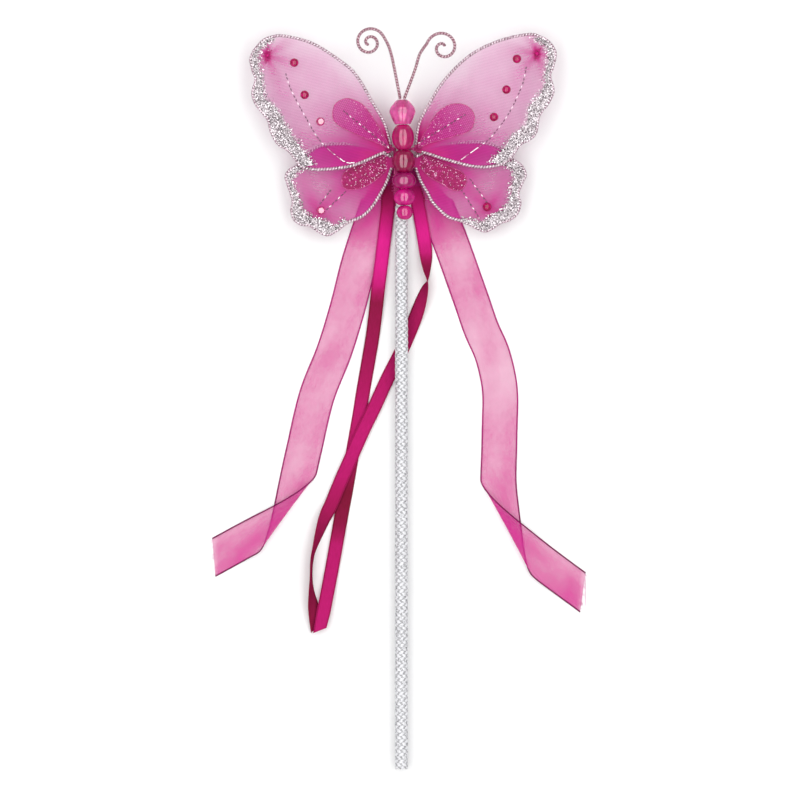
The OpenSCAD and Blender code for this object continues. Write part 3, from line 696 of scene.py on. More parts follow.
# %% The beads
bead_gap, waist_v, waist_len, thorax_len = 0.3, -1.1, 10, 11.3
head_len, head_r, upper_len, lower_len = 11.3, 6, 7.3, 7.2
tail_len, tail_r, tail_cut, tail_hole = 6.6, 3.65, 0.86, 4
thorax_v = waist_v + waist_len / 2 + bead_gap + thorax_len / 2
head_low = thorax_v + thorax_len / 2 + bead_gap
upper_abdomen_v = waist_v - waist_len / 2 - bead_gap - upper_len / 2
lower_abdomen_v = upper_abdomen_v - upper_len / 2 - bead_gap - lower_len / 2
tail_top = lower_abdomen_v - lower_len / 2 - bead_gap
tail_low = tail_top - tail_len
head_shares = [
    [0.58, 0], [0.77, 0.17], [0.91, 0.36], [0.98, 0.46], [1, 0.53], [0.97, 0.61], [0.88, 0.72], [0.65, 0.87],
    [0.5, 0.95], [0.37, 1]
]
head_outer = [(s[0] * head_r, head_low + s[1] * head_len) for s in through(head_shares, 3)]
tail_outer = [(tail_r * math.sqrt(max(1 - s * s, 0)), tail_low + tail_len * (s + 1) / (tail_cut + 1))
              for s in np.linspace(-1, tail_cut, 25)]
bead_profiles = {
    "head_bead": [(bore_r, head_low), *head_outer, (bore_r, head_low + head_len), (bore_r, head_low)],
    "thorax_bead": bead_profile(10.3, thorax_len, thorax_v),
    "waist_bead": bead_profile(10.6, waist_len, waist_v),
    "upper_abdomen_bead": bead_profile(10.9, upper_len, upper_abdomen_v),
    "lower_abdomen_bead": bead_profile(9.9, lower_len, lower_abdomen_v),
    "tail_bead": [*tail_outer, (bore_r, tail_top), (bore_r, tail_top - tail_hole), (0, tail_top - tail_hole)],
}
fixed_beads = ("waist_bead", "tail_bead")
for name, profile in bead_profiles.items():
    bead = spun(name + "_plastic", profile)
    bead.data.transform(string_place)
    made = bead_finish(name + "_plastic", bead_tones[name], 0.6 if name == "head_bead" else 0.08)
    dress(bead, "rod" if name in fixed_beads else name.replace("_bead", ""), made, [name])
print("beads:", ", ".join(bead_profiles))

# %% [markdown]
# ## Wires
#
# Antennae and wing frames are two thin wires twisted round each other, a bright one and a dark one. Each
# ply is a helix about the CAD wire's line, swept with a small round section. Fine noise speckles and
# scuffs the metal.

# %% Twisted wires
twist_pitch, twist_step, bright_share, dark_share = 1.35, 0.15, 1.1, 0.8


def twisted(path, ply_r):
    path = evenly(path, twist_step)
    run = run_of(path)
    along = unit(np.gradient(path, axis=0))
    side = unit(np.cross(along, (0, 0, 1)))
    over = np.cross(side, along)
    plies = []
    for start, thick in ((0, bright_share), (math.pi, dark_share)):
        turn = (2 * math.pi * run / twist_pitch + start)[:, None]
        centre = path + ply_r * (np.cos(turn) * side + np.sin(turn) * over)
        taper = np.minimum(np.sqrt(np.minimum(run, run[-1] - run) / ply_r + 0.05), 1)
        plies.append(tube(centre, thick * ply_r * taper, 6))
    return plies


def wire_finish(name, bright, dark, scale, roughness):
    made = finish_of(name, bright, roughness, Metallic=0.3)
    mottled(made, scale, [(0.4, dark), (0.58, bright)], detail=3.0, roughness=0.7)
    bump(made, clouds(made, scale * 2.5), 0.4, 0.06)
    return made


frame_wire = wire_finish("frame_wire", (0.78, 0.68, 0.73), (0.38, 0.27, 0.32), 1000.0, 0.3)
wrap_wire = wire_finish("wrap_wire", (0.42, 0.27, 0.34), (0.1, 0.03, 0.055), 900.0, 0.5)
rose_wire = wire_finish("rose_wire", (0.5, 0.02, 0.18), (0.3, 0.005, 0.1), 600.0, 0.4)
antenna_wire = wire_finish("antenna_wire", (0.6, 0.42, 0.47), (0.32, 0.15, 0.2), 1200.0, 0.35)
antenna_wrap = wire_finish("antenna_wrap", (0.18, 0.04, 0.07), (0.1, 0.02, 0.035), 900.0, 0.5)
plain_wire = wire_finish("plain_wire", (0.72, 0.7, 0.72), (0.5, 0.48, 0.5), 700.0, 0.3)
print("wire finishes: 6")

# %% Antennae
antennae = {
    "left": (left, [[0, 0], [1.8, 9.4], [3.7, 18.7], [5.4, 24.5]], [[14.1, 26], 157, -430, 7, 1]),
    "right": (right, [[0, 0], [3, 7.8], [5.3, 14.2], [7.3, 20.7]], [[17.9, 23.6], 166, -324, 7.6, 1]),
}
antenna_v = head_low + head_len + bead_gap
spine_half, antenna_ply_r = 0.85, 0.4
for name, (side, stem, curl) in antennae.items():
    centre, first, last, r0, r1 = curl
    share = np.linspace(0, 1, 90)
    angle = np.radians(first + (last - first) * share)
    r = (r0 + (r1 - r0) * share)[:, None]
    spiral = np.array(centre) + r * np.stack([np.cos(angle), np.sin(angle)], axis=1)
    flat = np.concatenate([through(stem + [list(spiral[0])], 8), spiral[1:]])
    path = np.stack([side * flat[:, 0], flat[:, 1], 0 * flat[:, 0]], axis=1)
    bend = Matrix.Rotation(body_tilt, 3, "Z") @ Vector((side * spine_half, antenna_v, 0))
    path += np.array([body_x, root_y, bead_axis_z]) + np.array(bend)
    bright, dark = twisted(path, antenna_ply_r)
    feeler = mesh_piece(name + "_antenna_wire", [bright])
    dress(feeler, name + "_feeler", antenna_wire, [name + "_antenna"])
    feeler_wrap = mesh_piece(name + "_antenna_wrap", [dark])
    dress(feeler_wrap, name + "_feeler", antenna_wrap)
    print(name, "antenna:", round(run_of(path)[-1], 1), "mm of wire")

# %% [markdown]
# ## Wings
#
# A wing is a bent wire loop with nylon stretched over it, a scalloped edge of silver glitter, a dark
# glittered petal at the root, a few round stones, lines of short glitter dashes and, on the upper wings,
# a gathered and tied tip. The points below are outwards from the body and up from the roots, as in the
# CAD source.

# %% Wing outlines
left_upper_edge = [
    [hinge_u, upper_root_v + root_spread], [6.4, 9], [9, 17], [14.5, 26.5], [21, 37.5], [27.5, 44],
    [41.5, 53], [54.5, 56.5],
    [61, 56], [65.5, 53.5], [70, 47], [69.3, 41], [67.8, 36.5], [69.3, 30], [67.3, 24.5], [62.3, 18.3],
    [60.8, 12.5], [57.3, 6.7], [53, 4], [49.3, -0.6], [46.5, -3.6],
    [38.5, -4.8], [23.5, -3], [10.5, 2.4], [hinge_u, upper_root_v - root_spread]
]
right_upper_edge = [
    [hinge_u, upper_root_v + root_spread], [6, 10], [7.5, 17], [11, 24], [19, 36.5], [31, 48],
    [44.5, 54.5], [57.5, 57.3],
    [63, 56], [67, 53.5], [69.8, 48.5], [68.5, 42], [67.2, 38], [68.8, 31.3], [66.2, 25.3], [62.3, 20],
    [60.8, 12.2], [57.5, 8.7], [53.5, 6.7], [50, 1.7], [44.6, -2.5],
    [33.6, -3.5], [19, 0], [12, 2.3], [hinge_u, upper_root_v - root_spread]
]
left_lower_edge = [
    [hinge_u, lower_root_v], [7.5, -10], [11, -16.5], [15, -22.5], [19.5, -26.5],
    [25.5, -29], [31, -33], [35, -34.8], [39, -33.2], [43, -30.4], [47, -30], [50.3, -27.5], [51.4, -23.3],
    [50.8, -19], [53.5, -10.5], [54, -7.7], [52.3, -5], [49, -3.2],
    [44, 2.5], [38.5, 6], [31, 7], [23.5, 6.7], [15.5, 5.3], [10, 3.3], [hinge_u, lower_top_v]
]
right_lower_edge = [
    [hinge_u, lower_root_v], [7.8, -9.8], [11, -15.3], [13.8, -20.2], [20.2, -26.2],
    [26.2, -28.3], [31.3, -30.4], [36.3, -32.9], [39.3, -32.6], [44.6, -29.2], [48.3, -28.1], [52, -25.3],
    [53.6, -20.5], [52.6, -15.8], [54.7, -10.6], [56.1, -7], [54, -2.8], [50.6, -0.5],
    [45, 4.7], [37.7, 7.4], [29, 7.7], [19, 6.7], [12, 4.6], [hinge_u, lower_top_v]
]
upper_scallops, lower_scallops = [8, 20], [5, 17]
print("wing outlines: 4")

# %% Glitter borders and petals
left_upper_border = [
    [59.5, 55.2], [64, 52.6], [66.9, 49.5], [67.4, 45.5], [66.4, 40.5], [65.1, 36], [63.8, 28], [58.1, 22.6],
    [54.7, 15.8], [51.4, 10.4], [46.6, 4.3], [41, -2.6]
]
right_upper_border = [
    [60.5, 55.4], [65, 52.3], [67.3, 49.3], [67, 45.5], [65, 38.8], [65.2, 34.5], [61.6, 27.6], [58.4, 24.4],
    [56.6, 16.1], [53.8, 12.4], [49.7, 9.7], [44.4, 2.8], [40, -1.4]
]
left_lower_border = [
    [27, -27.9], [31.7, -30.8], [35.9, -28.7], [42.8, -26.5], [45.5, -25.1], [47.8, -21.6], [48.5, -17.5],
    [50.8, -12.9], [51.9, -9], [50, -6.7], [46.6, -4.2]
]
right_lower_border = [
    [27, -27.2], [32.7, -28.7], [35.9, -29.6], [41.4, -25.3], [47.4, -22.5], [49.2, -17.5], [50.1, -12.4],
    [51.4, -8.7], [50.6, -5.5], [46.5, -2.3]
]
left_upper_petal = [
    [6.8, 5.2], [8.2, 9.2], [10.6, 13.4], [15.2, 20.7], [19, 25.2], [24.5, 27.7], [28, 27.4], [31.3, 25.3],
    [32.5, 21.6], [32, 17.9], [29, 15], [24.4, 12.6], [18.9, 10.1], [12.4, 7.6]
]
right_upper_petal = [
    [6.8, 5.2], [8.2, 9.2], [10.6, 13.4], [15.2, 20.7], [19.8, 24.4], [24.4, 25.4], [28.5, 24.7],
    [31.5, 22.3], [32.7, 18.9], [31.7, 14.7], [29, 12.2], [23.9, 10.6], [17, 8.7], [11.5, 7.1]
]
left_lower_petal = [
    [6, 2], [12, 0.5], [18.9, -2], [24.4, -4.2], [27.4, -6.4], [28.4, -9.7], [27.6, -12.7], [25.3, -13.9],
    [21.6, -13.8], [17.9, -12.7], [13.3, -10.1], [9.4, -6.6], [6.2, -3.6]
]
right_lower_petal = [
    [6, 2.2], [11, 1], [17, -1.2], [21.6, -3.4], [26.2, -5.6], [28.8, -8.3], [28.8, -11], [27.1, -13.6],
    [24.6, -14.6], [21.2, -13.6], [17, -11], [12.4, -8.5], [9.4, -5.6], [6.2, -2.6]
]
wings = {
    "left_upper": (left, upper, left_upper_edge, upper_scallops, left_upper_border, left_upper_petal),
    "right_upper": (right, upper, right_upper_edge, upper_scallops, right_upper_border, right_upper_petal),
    "left_lower": (left, lower, left_lower_edge, lower_scallops, left_lower_border, left_lower_petal),
    "right_lower": (right, lower, right_lower_edge, lower_scallops, right_lower_border, right_lower_petal),
}
print("wings:", ", ".join(wings))


# %% Places on a wing
def level_of(layer):
    return hinge_z + layer * wing_step / 2


def layer_z(u, layer):
    return hinge_z + layer * wing_step / 2 * smooth((np.asarray(u) - hinge_u) / hinge_run)


def on_wing(side, points, z):
    points = np.asarray(points, float)
    z = np.broadcast_to(z, len(points))
    return np.stack([body_x + side * points[:, 0], root_y + points[:, 1], z], axis=1)


def moved_in(points, distance):
    way = unit(np.gradient(points, axis=0))
    return points + np.reshape(distance, (-1, 1)) * np.stack([way[:, 1], -way[:, 0]], axis=1)


def wire_line(edge, layer, scallops, steps):
    line = through(edge, steps)
    at = np.arange(len(line)) / steps
    inside = (frame_d / 2 + 0.05) * smooth((at - scallops[0]) / 2) * smooth((scallops[1] - at) / 2)
    return moved_in(line, layer * inside)


print("wing layers at", round(level_of(lower), 2), "and", round(level_of(upper), 2), "mm")

# %% Wing frames
edge_steps, frame_ply_r, over_glitter = 6, 0.38, 0.75
dyed_root_u, dyed_root_v = 7.6, 6.5
for name, (side, layer, edge, scallops, border, petal) in wings.items():
    line = through(edge, edge_steps)
    at = np.arange(len(line)) / edge_steps
    glittered = smooth((at - scallops[0] + 1) / 1.5) * smooth((scallops[1] + 1 - at) / 1.5)
    path = on_wing(side, line, layer_z(line[:, 0], layer) + over_glitter * glittered)
    silvered = np.flatnonzero((line[:, 0] > dyed_root_u) | (line[:, 1] > dyed_root_v) | (layer == lower))
    first, last = silvered[0], silvered[-1]
    bright, dark = twisted(path[first:last + 1], frame_ply_r)
    loop_wire = mesh_piece(name + "_frame_wire", [bright])
    dress(loop_wire, name + "_wing", frame_wire, [name + "_frame"])
    loop_wrap = mesh_piece(name + "_frame_wrap", [dark])
    dress(loop_wrap, name + "_wing", wrap_wire)
    if layer == upper:
        roots = [ply for part in (path[:first + 1], path[last:]) for ply in twisted(part, frame_ply_r)]
        dress(mesh_piece(name + "_dyed_root", roots), name + "_wing", rose_wire)
print("frames: 4 twisted loops")

# %% [markdown]
# ### Nylon
#
# The skins are stocking nylon, so thin that the table shows through. A skin is one sheet of small
# triangles inside the wire loop, which is what lets the gathered tip pull it into folds. How dense it
# looks is a veil written on its points: most at the root, round the gathers and where two wings overlap.
# Fine lines of the knit follow the UV map and break up the alpha.


# %% A stretched skin
def inside_outline(points, outline):
    x, y = points[:, :1], points[:, 1:]
    x0, y0 = outline[:, 0], outline[:, 1]
    x1, y1 = np.roll(x0, -1), np.roll(y0, -1)
    crosses = (y0 > y) != (y1 > y)
    at = x0 + (y - y0) * (x1 - x0) / np.where(y1 == y0, 1e-9, y1 - y0)
    return (np.sum(crosses & (x < at), axis=1) % 2) == 1


def flat_skin(outline, spacing):
    low, high = outline.min(axis=0), outline.max(axis=0)
    across, up = np.arange(low[0], high[0], spacing), np.arange(low[1], high[1], spacing * 0.866)
    x, y = np.meshgrid(across, up)
    x = x + (np.arange(len(x))[:, None] % 2) * spacing / 2
    grid = np.stack([x.ravel(), y.ravel()], axis=1)
    grid = grid[inside_outline(grid, outline)]
    apart = np.array([np.min(np.sum((outline - g) ** 2, axis=1)) for g in grid])
    grid = grid[apart > (0.6 * spacing) ** 2]
    ring = len(outline)
    points = [Vector(p) for p in np.concatenate([outline, grid])]
    edges = [(i, (i + 1) % ring) for i in range(ring)]
    made = delaunay_2d_cdt(points, edges, [], 1, 1e-5)
    return np.array([tuple(p) for p in made[0]]), [tuple(f) for f in made[2]]


def sheet_sizes(outline):
    x, y = outline[:, 0], outline[:, 1]
    area = abs(np.sum(x * np.roll(y, -1) - y * np.roll(x, -1))) / 2
    return outline.max(axis=0) - outline.min(axis=0), area


def skin_piece(name, side, flat, faces, z):
    points = on_wing(side, flat, z)
    area = sum(np.cross(flat[f[1]] - flat[f[0]], flat[f[2]] - flat[f[0]]) for f in faces)
    if area * side < 0:
        faces = [f[::-1] for f in faces]
    uvs = [tuple(flat[i]) for f in faces for i in f]
    return mesh_piece(name, [(points, faces, uvs)])


print("skin helpers ready")

# %% Nylon finish
nylon = finish_of("nylon", (0.66, 0.02, 0.36), 0.55, Alpha=0.6, Specular_IOR_Level=0.1)
veil = read(nylon, "veil")
knit = span(nylon, waves(nylon, 0.24, turn=1.3), 0.0, 1.0, 0.95, 1.05)
worn = span(nylon, clouds(nylon, 0.09, 3.0, place_of(nylon, "UV")), 0.3, 0.7, 0.88, 1.12)
thin = calc(nylon, "MULTIPLY", calc(nylon, "MULTIPLY", veil, knit), worn, clamp=True)
shade(nylon, "Alpha", thin)
pink, rose, deep = (0.64, 0.05, 0.38), (0.55, 0.007, 0.25), (0.46, 0.003, 0.16)
shade(nylon, "Base Color", ramp(nylon, veil, [(0.35, pink), (0.75, rose), (1.0, deep)]))
print("nylon:", len(nylon.node_tree.nodes), "nodes")

# %% How dense and how high a skin is
root_spots = {upper: np.array([4.5, 3.0]), lower: np.array([4.5, -1.5])}
streak_count, streak_run, ray_run, ray_change = 23, 26, 5.5, 2.5
fold_height, fold_run, knot_height, knot_r = 0.4, 4.0, 0.45, 2.2


def around(flat, centre):
    away = flat - centre
    return away, np.linalg.norm(away, axis=1), np.arctan2(away[:, 1], away[:, 0])


def nearest(flat, line):
    return np.array([np.min(np.sum((line - f) ** 2, axis=1)) for f in flat])


def skin_density(flat, layer, spot, folds, lead, under):
    u, v = flat[:, 0], flat[:, 1]
    root, fan = around(flat, root_spots[layer])[1:]
    streaks = np.cos(streak_count * fan + 2 * np.sin(5 * fan)) * np.exp(-root / streak_run)
    away, reach, turn = around(flat, spot)
    rays = np.exp(-reach / (ray_run + ray_change * np.cos(folds * turn + 1.0)))
    if layer == upper:
        trailing = 0.1 * smooth((26 - v) / 26) + 0.04 * smooth((5 - v) / 8)
        pinch = np.exp(-((away[:, 0] / 1.5) ** 2) - (away[:, 1] / 3.2) ** 2)
        made = 0.39 + 0.7 * np.exp(-((root / 20.5) ** 1.7)) + trailing + 0.6 * rays + 0.5 * pinch
        made -= 0.12 * np.exp(-np.sqrt(nearest(flat, lead)) / 9) * smooth((root - 10) / 14)
        made -= 0.3 * np.exp(-nearest(flat, under) / 0.9 ** 2)
    else:
        overlap = 0.42 * smooth((v + 4) / 7) * (1 - 0.3 * smooth((u - 26) / 18))
        made = 0.5 + 0.62 * np.exp(-((root / 22) ** 2)) + 0.45 * rays + overlap
    return np.clip(made + 0.1 * streaks, 0.3, 1.0)


def skin_height(flat, layer, spot, folds):
    reach, turn = around(flat, spot)[1:]
    pulled = fold_height * np.exp(-reach / fold_run) * np.cos(folds * turn)
    pulled = pulled + knot_height * np.exp(-((reach / knot_r) ** 2))
    z = layer_z(flat[:, 0], layer) + (1.0 if layer == upper else 0.4) * pulled
    return z + 0.08 * np.sin(flat[:, 0] / 6) * np.sin(flat[:, 1] / 7)


print("skin shapes ready")

# %% Nylon skins
gather_spots = {
    "left_upper": np.array([62.5, 47.5]), "right_upper": np.array([61.2, 48.4]),
    "left_lower": np.array([39, -24.6]), "right_lower": np.array([39.4, -22.9]),
}
gather_folds = {"left_upper": 7, "right_upper": 6, "left_lower": 5, "right_lower": 5}
tucked_u, skin_steps = 4.6, {upper: 0.9, lower: 1.5}
for name, (side, layer, edge, scallops, border, petal) in wings.items():
    outline = wire_line(edge, layer, scallops, 3)
    first, last = outline[0], outline[-1]
    outline = np.concatenate([[[tucked_u, first[1]]], outline, [[tucked_u, last[1]]]])
    flat, faces = flat_skin(outline, skin_steps[layer])
    spot, folds = gather_spots[name], gather_folds[name]
    skin = skin_piece(name + "_skin", side, flat, faces, skin_height(flat, layer, spot, folds))
    lead = through(edge[:9], edge_steps)
    under = through(wings[name.replace("upper", "lower")][2][17:], edge_steps)
    mark(skin, "veil", skin_density(flat, layer, spot, folds, lead, under))
    dress(skin, name + "_wing", nylon, [name + "_nylon"])
    size, area = sheet_sizes(outline)
    print(name, "skin:", len(faces), "triangles,", np.round(size, 1), "mm")

# %% [markdown]
# ### Petals
#
# Each wing has a darker petal near its root, brushed with glitter. The upper petals are a dyed mesh that
# goes bare outwards, and the lower ones are wine red all over. The sheet lies just over the skin, its
# edge is a thin raised line, and loose glitter grains lie thickest towards the root.

# %% Petal finishes
petal_cloth = finish_of("petal_cloth", (0.5, 0.006, 0.2), 0.5, Alpha=0.85, Specular_IOR_Level=0.1)
warp, weft = (waves(petal_cloth, 0.4, turn=turn, distortion=0.8) for turn in (0.5, 1.8))
soaked = read(petal_cloth, "veil")
bare = span(petal_cloth, soaked, 0.72, 0.97, 1.0, 0.2)
mesh_dots = calc(petal_cloth, "MULTIPLY", calc(petal_cloth, "MULTIPLY", warp, weft), bare)
petal_stops = [(0.0, (0.42, 0.002, 0.17)), (0.6, (0.78, 0.07, 0.46))]
shade(petal_cloth, "Base Color", ramp(petal_cloth, mesh_dots, petal_stops))
shade(petal_cloth, "Alpha", soaked)
wine_cloth = finish_of("wine_cloth", (0.34, 0.004, 0.1), 0.5, Alpha=0.93, Specular_IOR_Level=0.1)
mottled(wine_cloth, 0.35, [(0.3, (0.28, 0.002, 0.07)), (0.7, (0.44, 0.004, 0.14))],
        detail=4.0, place=place_of(wine_cloth, "UV"))
petal_line = finish_of("petal_line", (0.4, 0.01, 0.14), 0.4, Metallic=0.2)
mottled(petal_line, 1100.0, [(0.45, (0.36, 0.003, 0.12)), (0.7, (0.62, 0.06, 0.3))])
print("petal finishes: 3")

# %% Petals
petal_over, line_over, line_r = 0.36, 0.1, 0.16
petal_lines = {}
for name, (side, layer, edge, scallops, border, petal) in wings.items():
    outline = through(petal, 4, closed=True)
    flat, faces = flat_skin(outline, 1.4)
    z0 = level_of(layer) + petal_over
    sheet = skin_piece(name + "_petal_cloth", side, flat, faces, z0)
    mark(sheet, "veil", 0.97 - 0.25 * smooth((flat[:, 0] - 10) / 16))
    dress(sheet, name + "_wing", petal_cloth if layer == upper else wine_cloth, [name + "_petal"])
    size, area = sheet_sizes(outline)
    ring = on_wing(side, np.concatenate([outline, outline[:1]]), z0 + line_over)
    bead_line = mesh_piece(name + "_petal_line", [tube(evenly(ring, 0.4), line_r, 6)])
    dress(bead_line, name + "_wing", petal_line)
    petal_lines[name] = outline
print("petals:", len(petal_lines))

# %% [markdown]
# ### Glitter
#
# The scalloped edges are thick with silver glitter: thousands of tiny flat grains, each turned its own
# way, so that a few of them flash and others look dark. A grain is a six-sided plate, placed by a seeded
# draw, and its tone is kept in a colour attribute that the finish reads.


# %% Grains of glitter
def tossed(outline, count):
    low, high = outline.min(axis=0), outline.max(axis=0)
    return np.array([[draw.uniform(low[0], high[0]), draw.uniform(low[1], high[1])] for i in range(count)])


def grain_piece(name, spots, size, tilt):
    corners = np.arange(6) * math.pi / 3
    disc = np.stack([np.cos(corners), np.sin(corners), 0 * corners], axis=1)
    points, tones = [], []
    for spot in spots:
        lean, turn = draw.uniform(0, tilt), draw.uniform(0, 2 * math.pi)
        r = size * draw.uniform(0.6, 1.25)
        a = np.array([math.cos(turn), math.sin(turn), 0])
        b = np.array([-math.sin(turn) * math.cos(lean), math.cos(turn) * math.cos(lean), math.sin(lean)])
        points.append(np.asarray(spot) + r * (disc[:, :1] * a + disc[:, 1:2] * b))
        tones.append(draw.random())
    faces = [tuple(range(6 * i, 6 * i + 6)) for i in range(len(points))]
    plates = (np.concatenate(points), faces, [(0, 0)] * (6 * len(faces)))
    piece = mesh_piece(name, [plates], flat_shaded=True)
    colours = piece.data.color_attributes.new("tone", "FLOAT_COLOR", "CORNER")
    values = np.repeat(np.array(tones), 6)
    colours.data.foreach_set("color", np.stack([values, values, values, 1 + 0 * values], axis=1).ravel())
    return piece


def grain_finish(name, colour, roughness, stops, **sockets):
    made = finish_of(name, colour, roughness, **sockets)
    tone = add(made, "VertexColor", layer_name="tone").outputs["Color"]
    shade(made, "Base Color", ramp(made, tone, stops))
    return made


draw = random.Random(7)
print("glitter helpers ready")

# %% Grain finishes
silver_stops = [(0.1, (0.05, 0.03, 0.04)), (0.45, (0.44, 0.37, 0.4)), (0.75, (0.95, 0.87, 0.91))]
silver_grains = grain_finish("silver_grains", (0.95, 0.87, 0.91), 0.25, silver_stops,
                             Metallic=0.15, Specular_IOR_Level=0.5)
pink_stops = [(0.3, (0.38, 0.003, 0.13)), (0.6, (0.75, 0.06, 0.38)), (0.8, (1.0, 0.5, 0.78)),
              (1.0, (1.0, 0.85, 0.97))]
pink_grains = grain_finish("pink_grains", (1.0, 0.85, 0.97), 0.25, pink_stops,
                           Metallic=0.0, Specular_IOR_Level=0.1)
dash_stops = [(0.3, (0.1, 0.004, 0.06)), (0.6, (0.5, 0.12, 0.3)), (0.75, (1.0, 0.92, 0.96))]
dash_finish = grain_finish("dash_glitter", (0.7, 0.2, 0.4), 0.3, dash_stops, Metallic=0.1)
print("grain finishes: 3")

# %% Glitter edges
glue_film = finish_of("glitter_film", (0.6, 0.58, 0.6), 0.35, Metallic=0.1)
film_stops = [(0.42, (0.13, 0.09, 0.11)), (0.58, (0.6, 0.52, 0.56))]
bump(glue_film, mottled(glue_film, 1600.0, film_stops, detail=3.0), 0.8, 0.2)
film_t, film_over, grain_over, grain_r = 0.5, 0.25, 0.12, 0.27
grains_a_mm2, strays_a_mm, stray_reach = 11, 7, 0.9
for name, (side, layer, edge, scallops, border, petal) in wings.items():
    outer = through(edge, edge_steps)[scallops[0] * edge_steps: scallops[1] * edge_steps + 1]
    inner = through(border, edge_steps)
    outline = np.concatenate([outer, inner[::-1]])
    flat, faces = flat_skin(outline, 1.2)
    z0 = level_of(layer) + frame_d / 2 + film_over
    film = skin_piece(name + "_glitter_film", side, flat, faces, z0)
    bpy.context.view_layer.objects.active = film
    wall = film.modifiers.new("wall", "SOLIDIFY")
    wall.thickness = film_t * MM
    wall.offset = -1
    bpy.ops.object.modifier_apply(modifier="wall")
    dress(film, name + "_wing", glue_film, [name + "_glitter"])
    count = int(sheet_sizes(outline)[1] * grains_a_mm2)
    tries = tossed(outline, count * 8)
    spots = [*tries[inside_outline(tries, outline)][:count]]
    for i in range(int(run_of(inner)[-1] * strays_a_mm)):
        spot = inner[draw.randrange(len(inner))]
        spot = spot + np.array([draw.uniform(-0.5, 0.5), draw.uniform(-0.5, 0.5)])
        inward = spot - outer[np.argmin(np.sum((outer - spot) ** 2, axis=1))]
        spots.append(spot + unit(inward[None])[0] * abs(draw.gauss(0, stray_reach)))
    heights = z0 + grain_over + 0.25 * np.array([draw.random() for spot in spots])
    edge_grains = grain_piece(name + "_glitter_grains", on_wing(side, spots, heights), grain_r, 1.0)
    dress(edge_grains, name + "_wing", silver_grains)
    print(name, "glitter:", len(spots), "grains")

# %% Glitter on the petals
petal_glitter = {upper: (420, 7, 0.17), lower: (380, 24, 0.25)}
for name, (side, layer, edge, scallops, border, petal) in wings.items():
    outline = petal_lines[name]
    count, fade, size = petal_glitter[layer]
    tries = tossed(outline, count * 6)
    from_root = tries[:, 0] - outline[:, 0].min()
    near = np.array([draw.random() for t in tries]) < np.exp(-from_root / fade)
    spots = tries[inside_outline(tries, outline) & near][:count]
    heights = level_of(layer) + 0.5 + 0.12 * np.array([draw.random() for spot in spots])
    petal_grains = grain_piece(name + "_petal_grains", on_wing(side, spots, heights), size, 0.8)
    dress(petal_grains, name + "_wing", pink_grains)
    print(name, "petal:", len(spots), "grains")

# %% [markdown]
# ### Stones, gathers and glitter dashes
#
# A stone is a round dome: a sphere cut across. Two of them also have a slanted flat cut on top, which
# shines white. The tied tip is a star of pinched folds, and the veins are rows of short dashes of glitter
# glue. A stone and a dash are modelled once and copied, and the copies on one wing are joined to one
# piece.


# %% Start, slice and copy
def start(add_primitive, **settings):
    bpy.ops.object.select_all(action="DESELECT")
    add_primitive(**settings)
    return bpy.context.object


def sliced(piece, height, facing):
    bpy.ops.object.select_all(action="DESELECT")
    bpy.context.view_layer.objects.active = piece
    piece.select_set(True)
    bpy.ops.object.mode_set(mode="EDIT")
    bpy.ops.mesh.select_all(action="SELECT")
    bpy.ops.mesh.bisect(plane_co=(0, 0, height * MM), plane_no=facing, clear_outer=True, use_fill=True)
    bpy.ops.object.mode_set(mode="OBJECT")
    bpy.ops.object.shade_smooth_by_angle(angle=math.radians(24))


def copies(name, model, places, turns=None, tones=None):
    made = []
    for i, place in enumerate(places):
        copy = bpy.data.objects.new(name, model.data.copy())
        bpy.context.scene.collection.objects.link(copy)
        turn = Matrix.Rotation(turns[i], 4, "Z") if turns else Matrix.Identity(4)
        copy.data.transform(Matrix.Translation(Vector(place) * MM) @ turn)
        if tones:
            tone = copy.data.color_attributes.new("tone", "FLOAT_COLOR", "CORNER")
            tone.data.foreach_set("color", [tones[i], tones[i], tones[i], 1] * len(copy.data.loops))
        made.append(copy)
    bpy.ops.object.select_all(action="DESELECT")
    for copy in made:
        copy.select_set(True)
    bpy.context.view_layer.objects.active = made[0]
    bpy.ops.object.join()
    made[0].name = made[0].data.name = name
    return made[0]


print("copying helpers ready")

# %% One domed stone and one cut stone
stone_r, stone_squash, cut_height = 2, 0.95, 1.5
stone = start(bpy.ops.mesh.primitive_uv_sphere_add, segments=24, ring_count=16, radius=stone_r * MM)
sliced(stone, 0, (0, 0, -1))
stone.data.transform(Matrix.Diagonal((1, 1, stone_squash, 1)))
cut_stone = stone.copy()
cut_stone.data = stone.data.copy()
bpy.context.scene.collection.objects.link(cut_stone)
sliced(cut_stone, cut_height, (0.2, 0, 1))
print("stone:", len(stone.data.polygons), "faces, cut stone:", len(cut_stone.data.polygons))

